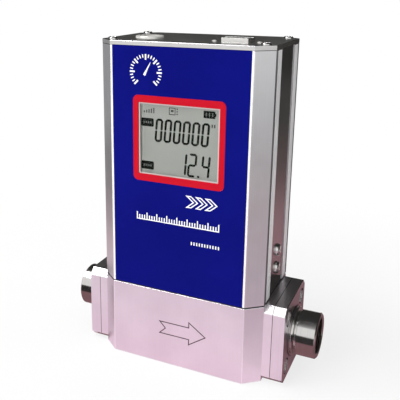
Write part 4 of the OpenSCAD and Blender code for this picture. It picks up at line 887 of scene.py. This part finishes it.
def white_world():
    world = bpy.data.worlds.new("studio")
    bpy.context.scene.world = world
    world.use_nodes = True
    tree = world.node_tree
    set_inputs(tree, tree.nodes["Background"], {"Color": (1, 1, 1, 1),
        "Strength": between(tree, light_rays(tree), AMBIENT, 1)})


def stage_mesh(name, corners, faces, material):
    """A mesh that belongs to the stage, not to the part."""
    mesh = bpy.data.meshes.new(name)
    mesh.from_pydata([tuple(corner) for corner in corners], [], faces)
    mesh.materials.append(material)
    panel = put(name, mesh)
    return panel


def level_corners(x, y, z=CARD_Z):
    """The corners of a level rectangle between two places along X and two along Y."""
    return [(x[0], y[0], z), (x[1], y[0], z), (x[1], y[1], z), (x[0], y[1], z)]


def pale_floor():
    """A pale floor that takes the object's shadow and fades to plain white away from it."""
    made, tree, shader, place = start_material("pale_floor")
    apart = add(tree, "ShaderNodeSeparateXYZ", {0: place}).outputs
    fade = eased(tree, distance(tree, apart[0], apart[1]), 0.09, 0.34)
    grain = use(tree, "mottling", place, Clouds=6.0, Low=0.80, High=0.84)
    tone = add(tree, "ShaderNodeCombineColor", {0: grain, 1: grain, 2: grain}).outputs[0]
    set_inputs(tree, shader, {"Base Color": tone, "Roughness": 0.9, "Specular IOR Level": 0.1})
    white = add(tree, "ShaderNodeEmission", {"Color": (1, 1, 1, 1)}).outputs[0]
    share = math_node(tree, "MULTIPLY", light_rays(tree), between(tree, fade, FLOOR_GLOW, 1))
    mix = add(tree, "ShaderNodeMixShader", {0: share, 1: shader.outputs[0], 2: white}).outputs[0]
    tree.links.new(mix, tree.nodes["Material Output"].inputs["Surface"])
    span = (-FLOOR_HALF, FLOOR_HALF)
    stage_mesh("floor", level_corners(span, span, FLOOR_Z), [(0, 1, 2, 3)], made)


def card_material(name, stops):
    """A plain glow whose colour follows the distance from the object's middle; stops are (metres, colour)."""
    made, tree, _, place = start_material(name)
    reach = stops[-1][0]
    away = add(tree, "ShaderNodeVectorMath", {0: place}, operation="LENGTH").outputs["Value"]
    ramp = add(tree, "ShaderNodeValToRGB", {0: math_node(tree, "DIVIDE", away, reach)})
    points = ramp.color_ramp.elements
    while len(points) < len(stops):
        points.new(0.5)
    for point, (metres, colour) in zip(points, stops):
        point.position = metres / reach
        point.color = (*colour, 1)
    glow = add(tree, "ShaderNodeEmission", {"Color": ramp.outputs[0]}).outputs[0]
    tree.links.new(glow, tree.nodes["Material Output"].inputs["Surface"])
    return made


def card(name, corners, stops, faces=None):
    """A card that only mirrors see, as a reflector outside the picture, of one face or several. stops is a
    list for card_material or one colour."""
    if not isinstance(stops, list):
        stops = [(0.0, stops), (1.0, stops)]
    panel = stage_mesh(name, corners, faces or [tuple(range(len(corners)))], card_material(name, stops))
    for flag in ("visible_camera", "visible_diffuse", "visible_shadow", "visible_transmission"):
        setattr(panel, flag, False)


def dark_surround():
    """Dark cloth that only mirrors see: a wall on a circle round the table, its height by a smooth step of
    the direction, low towards the white room in front and high elsewhere, and a ceiling behind."""
    steps = 72
    angle = np.linspace(0, 2 * math.pi, steps, endpoint=False)
    towards_room = np.cos(angle - math.radians(ROOM_AZIMUTH))
    height = WALL_LOW + (WALL_HIGH - WALL_LOW) * (1 - smooth_step(towards_room, 0.2, 0.5))
    x, y = WALL_R * np.cos(angle), WALL_R * np.sin(angle)
    wall = [np.stack([x, y, z], 1) for z in (np.full(steps, WALL_FOOT), height)]
    card("dark_wall", np.concatenate(wall), CLOTH, grid_faces(2, steps).tolist())
    card("dark_ceiling", [(x, y, WALL_HIGH) for x, y in ((-0.35, -0.5), (1.6, -1.6), (1.6, 1.6), (-1.6, 1.6),
        (-1.6, 0.4))], CLOTH)


def table_cards():
    """Paper on the table, pink in front and to the left, dark red to the right, and a grey card that stands
    far off to the left. Below the part lies a dark red card, a painted shadow of the floor under it as
    mirrors see it."""
    left = (-CARD_END, -CARD_SIDE - CARD_GAP)
    right = (CARD_SIDE + CARD_GAP, CARD_END)
    ahead = (-CARD_END, CARD_FRONT)
    behind = (CARD_FRONT + CARD_GAP, CARD_END)
    card("front_table_card", level_corners((-CARD_END, CARD_SIDE), ahead),
        [(0.0, (1.0, 0.74, 0.88)), (0.14, (0.90, 0.74, 0.84)), (0.30, (0.84, 0.80, 0.84)),
            (0.9, (1.0, 1.0, 1.0))])
    card("right_front_table_card", level_corners(right, ahead),
        [(0.0, (0.82, 0.63, 0.73)), (0.08, (0.78, 0.61, 0.70)), (0.13, (0.66, 0.51, 0.59)),
            (0.21, (0.53, 0.445, 0.485)), (0.32, (0.62, 0.50, 0.53)), (0.50, (0.38, 0.375, 0.37)),
            (0.85, (0.52, 0.53, 0.55)), (1.2, (1.0, 1.0, 1.0))])
    card("right_table_card", level_corners(right, behind),
        [(0.0, (0.14, 0.075, 0.09)), (0.12, (0.22, 0.125, 0.14)), (0.20, (0.36, 0.21, 0.235)),
            (0.28, (0.32, 0.20, 0.215)), (0.37, (0.20, 0.135, 0.14)), (0.46, (0.13, 0.10, 0.098)),
            (0.70, (0.07, 0.07, 0.066))])
    card("left_table_card", level_corners(left, behind),
        [(0.0, (0.68, 0.53, 0.58)), (0.13, (0.70, 0.56, 0.61)), (0.19, (0.70, 0.55, 0.59)),
            (0.24, (0.52, 0.40, 0.43)), (0.33, (0.24, 0.19, 0.19)), (0.42, (0.14, 0.13, 0.125)),
            (0.55, (0.18, 0.18, 0.175)), (0.75, (0.31, 0.31, 0.31)), (1.0, (0.42, 0.42, 0.43))])
    card("left_grey_card", [(-1.02, 0.71, 0.0005), (-1.24, 0.11, 0.0005), (-1.24, 0.11, 0.25),
        (-1.02, 0.71, 0.25)], (0.40, 0.40, 0.41))
    # Painted shadow: a dark card under the block, which mirrors see as the floor in the part's shade
    card("under_part_shadow_card", level_corners((-CARD_SIDE, CARD_SIDE), (behind[0], CARD_BACK)),
        (0.30, 0.19, 0.21))


def nipple_cards():
    """Low cards close before each nipple, which only its barrel mirrors, black at mid height and dark red
    below, and a small lid over the outlet's, in strips that grow darker backwards."""
    y, low, high = FLAG_Y, FLOW_Z - FLAG_BELOW, FLOW_Z + FLAG_ABOVE
    for side, (start, end) in (("outlet", OUTLET_SPAN), ("inlet", INLET_SPAN)):
        card(side + "_flag", [(start, y, low), (end, y, low), (end, y, high), (start, y, high)],
            (0.03, 0.028, 0.028))
        # The dark red cards below the flags are painted shadow: the floor under each nipple in the part's
        # shade, as mirrors see it
        card(side + "_shade", [(start, y, low), (end, y, low), (end, y, FLAG_FOOT), (start, y, FLAG_FOOT),
            (end, 0.0, FLAG_FOOT), (start, 0.0, FLAG_FOOT)], (0.26, 0.135, 0.15),
            [(0, 1, 2, 3), (3, 2, 4, 5)])
    for number, grey in enumerate(LID_GREYS):
        card("outlet_lid_" + str(number + 1),
            level_corners(OUTLET_SPAN, LID_EDGES[number:number + 2], LID_Z), (grey, grey, grey))


def lamp(name, place, target, size, watts, mirrored=True):
    """A square soft lamp at a place, turned to look at its target. Mirrors may miss it."""
    light = bpy.data.lights.new(name, "AREA")
    light.shape = "SQUARE"
    light.size = size
    light.energy = watts
    made = put(name, light)
    made.visible_glossy = mirrored
    made.location = place
    made.rotation_euler = (Vector(target) - Vector(place)).to_track_quat("-Z", "Y").to_euler()


def lamps():
    lamp("top_soft_lamp", (-0.75, -0.45, 1.55), (0, 0, 0.08), 0.75, 15)
    lamp("front_soft_lamp", (-0.45, -1.5, 0.85), (0, 0, 0.1), 0.9, 15, mirrored=False)


def camera():
    """The picture's camera. It looks along (sin yaw cos pitch, cos yaw cos pitch, sin pitch), and its lens
    is shifted so that this line meets the picture at CAMERA_CENTRE_PX."""
    data = bpy.data.cameras.new("camera")
    data.sensor_width = SENSOR_MM
    data.lens = CAMERA_FOCUS_PX / FRAME_PX * SENSOR_MM
    data.shift_x = 0.5 - CAMERA_CENTRE_PX[0] / FRAME_PX
    data.shift_y = CAMERA_CENTRE_PX[1] / FRAME_PX - 0.5
    data.clip_start, data.clip_end = 0.01, 20.0
    look = Vector((math.sin(CAMERA_YAW) * math.cos(CAMERA_PITCH),
        math.cos(CAMERA_YAW) * math.cos(CAMERA_PITCH), math.sin(CAMERA_PITCH)))
    right = look.cross(Vector((0, 0, 1))).normalized()
    up = right.cross(look)
    turn = Matrix((right, up, -look)).transposed().to_4x4()
    made = put("camera", data)
    made.matrix_world = Matrix.Translation(CAMERA_PLACE) @ turn
    bpy.context.scene.camera = made


def metal_body():
    """The dressed copies of the block, plates, covers, panels, port shells and films."""
    # Edges where parts meet are cut off and painted near-black, a painted shadow of each joint
    plate_seam = [(0, PLATE_LOW[0], 0.15)]
    top_seam = (2, TOP_LOW[2], 0.15)
    dressed("flow_body", "block", width=0.35, engraved=0.4 * MM, seams=plate_seam)
    for side in ("inlet", "outlet"):
        holes = [((low[1] + high[1]) / 2, (low[2] + high[2]) / 2)
            for low, high in parts_of(side + "_plate_screws")]
        dressed(side + "_end_plate", "plate", seams=plate_seam, bores=holes)
    for side in ("front", "rear"):
        # The covers' outer faces along X or Y are painted light with a near-white finish; their edges at the
        # side panels take a wider painted shadow
        dressed(side + "_cover", "cover", width=0.25, least=8.0,
            seams=[top_seam, (0, TOP_HIGH[0], 0.75)], sides="side_painted_light")
    for side in ("left", "right"):
        dressed(side + "_side_panel", "panel", width=0.2, least=8.0, seams=[top_seam])
    dressed("top_plate", "top", least=6.0, seams=[top_seam])
    for name, finish in (("socket_shell", "satin_nickel"), ("data_port_shell", "nickel")):
        dressed(name, finish, edge_finish="nickel", width=0.12, least=1.5)
    dressed("front_label", "label", edge_finish="label", width=0.0, recede=INK)
    dressed("display_frame", "red", edge_finish="red", width=0.0)


bpy.context.scene.view_settings.view_transform = "Standard"
camera()
finish_kept_nodes()
metal_body()
nipples()
all_screws()
display_ink()
label_ink()
window_edge()
white_world()
pale_floor()
dark_surround()
table_cards()
nipple_cards()
lamps()
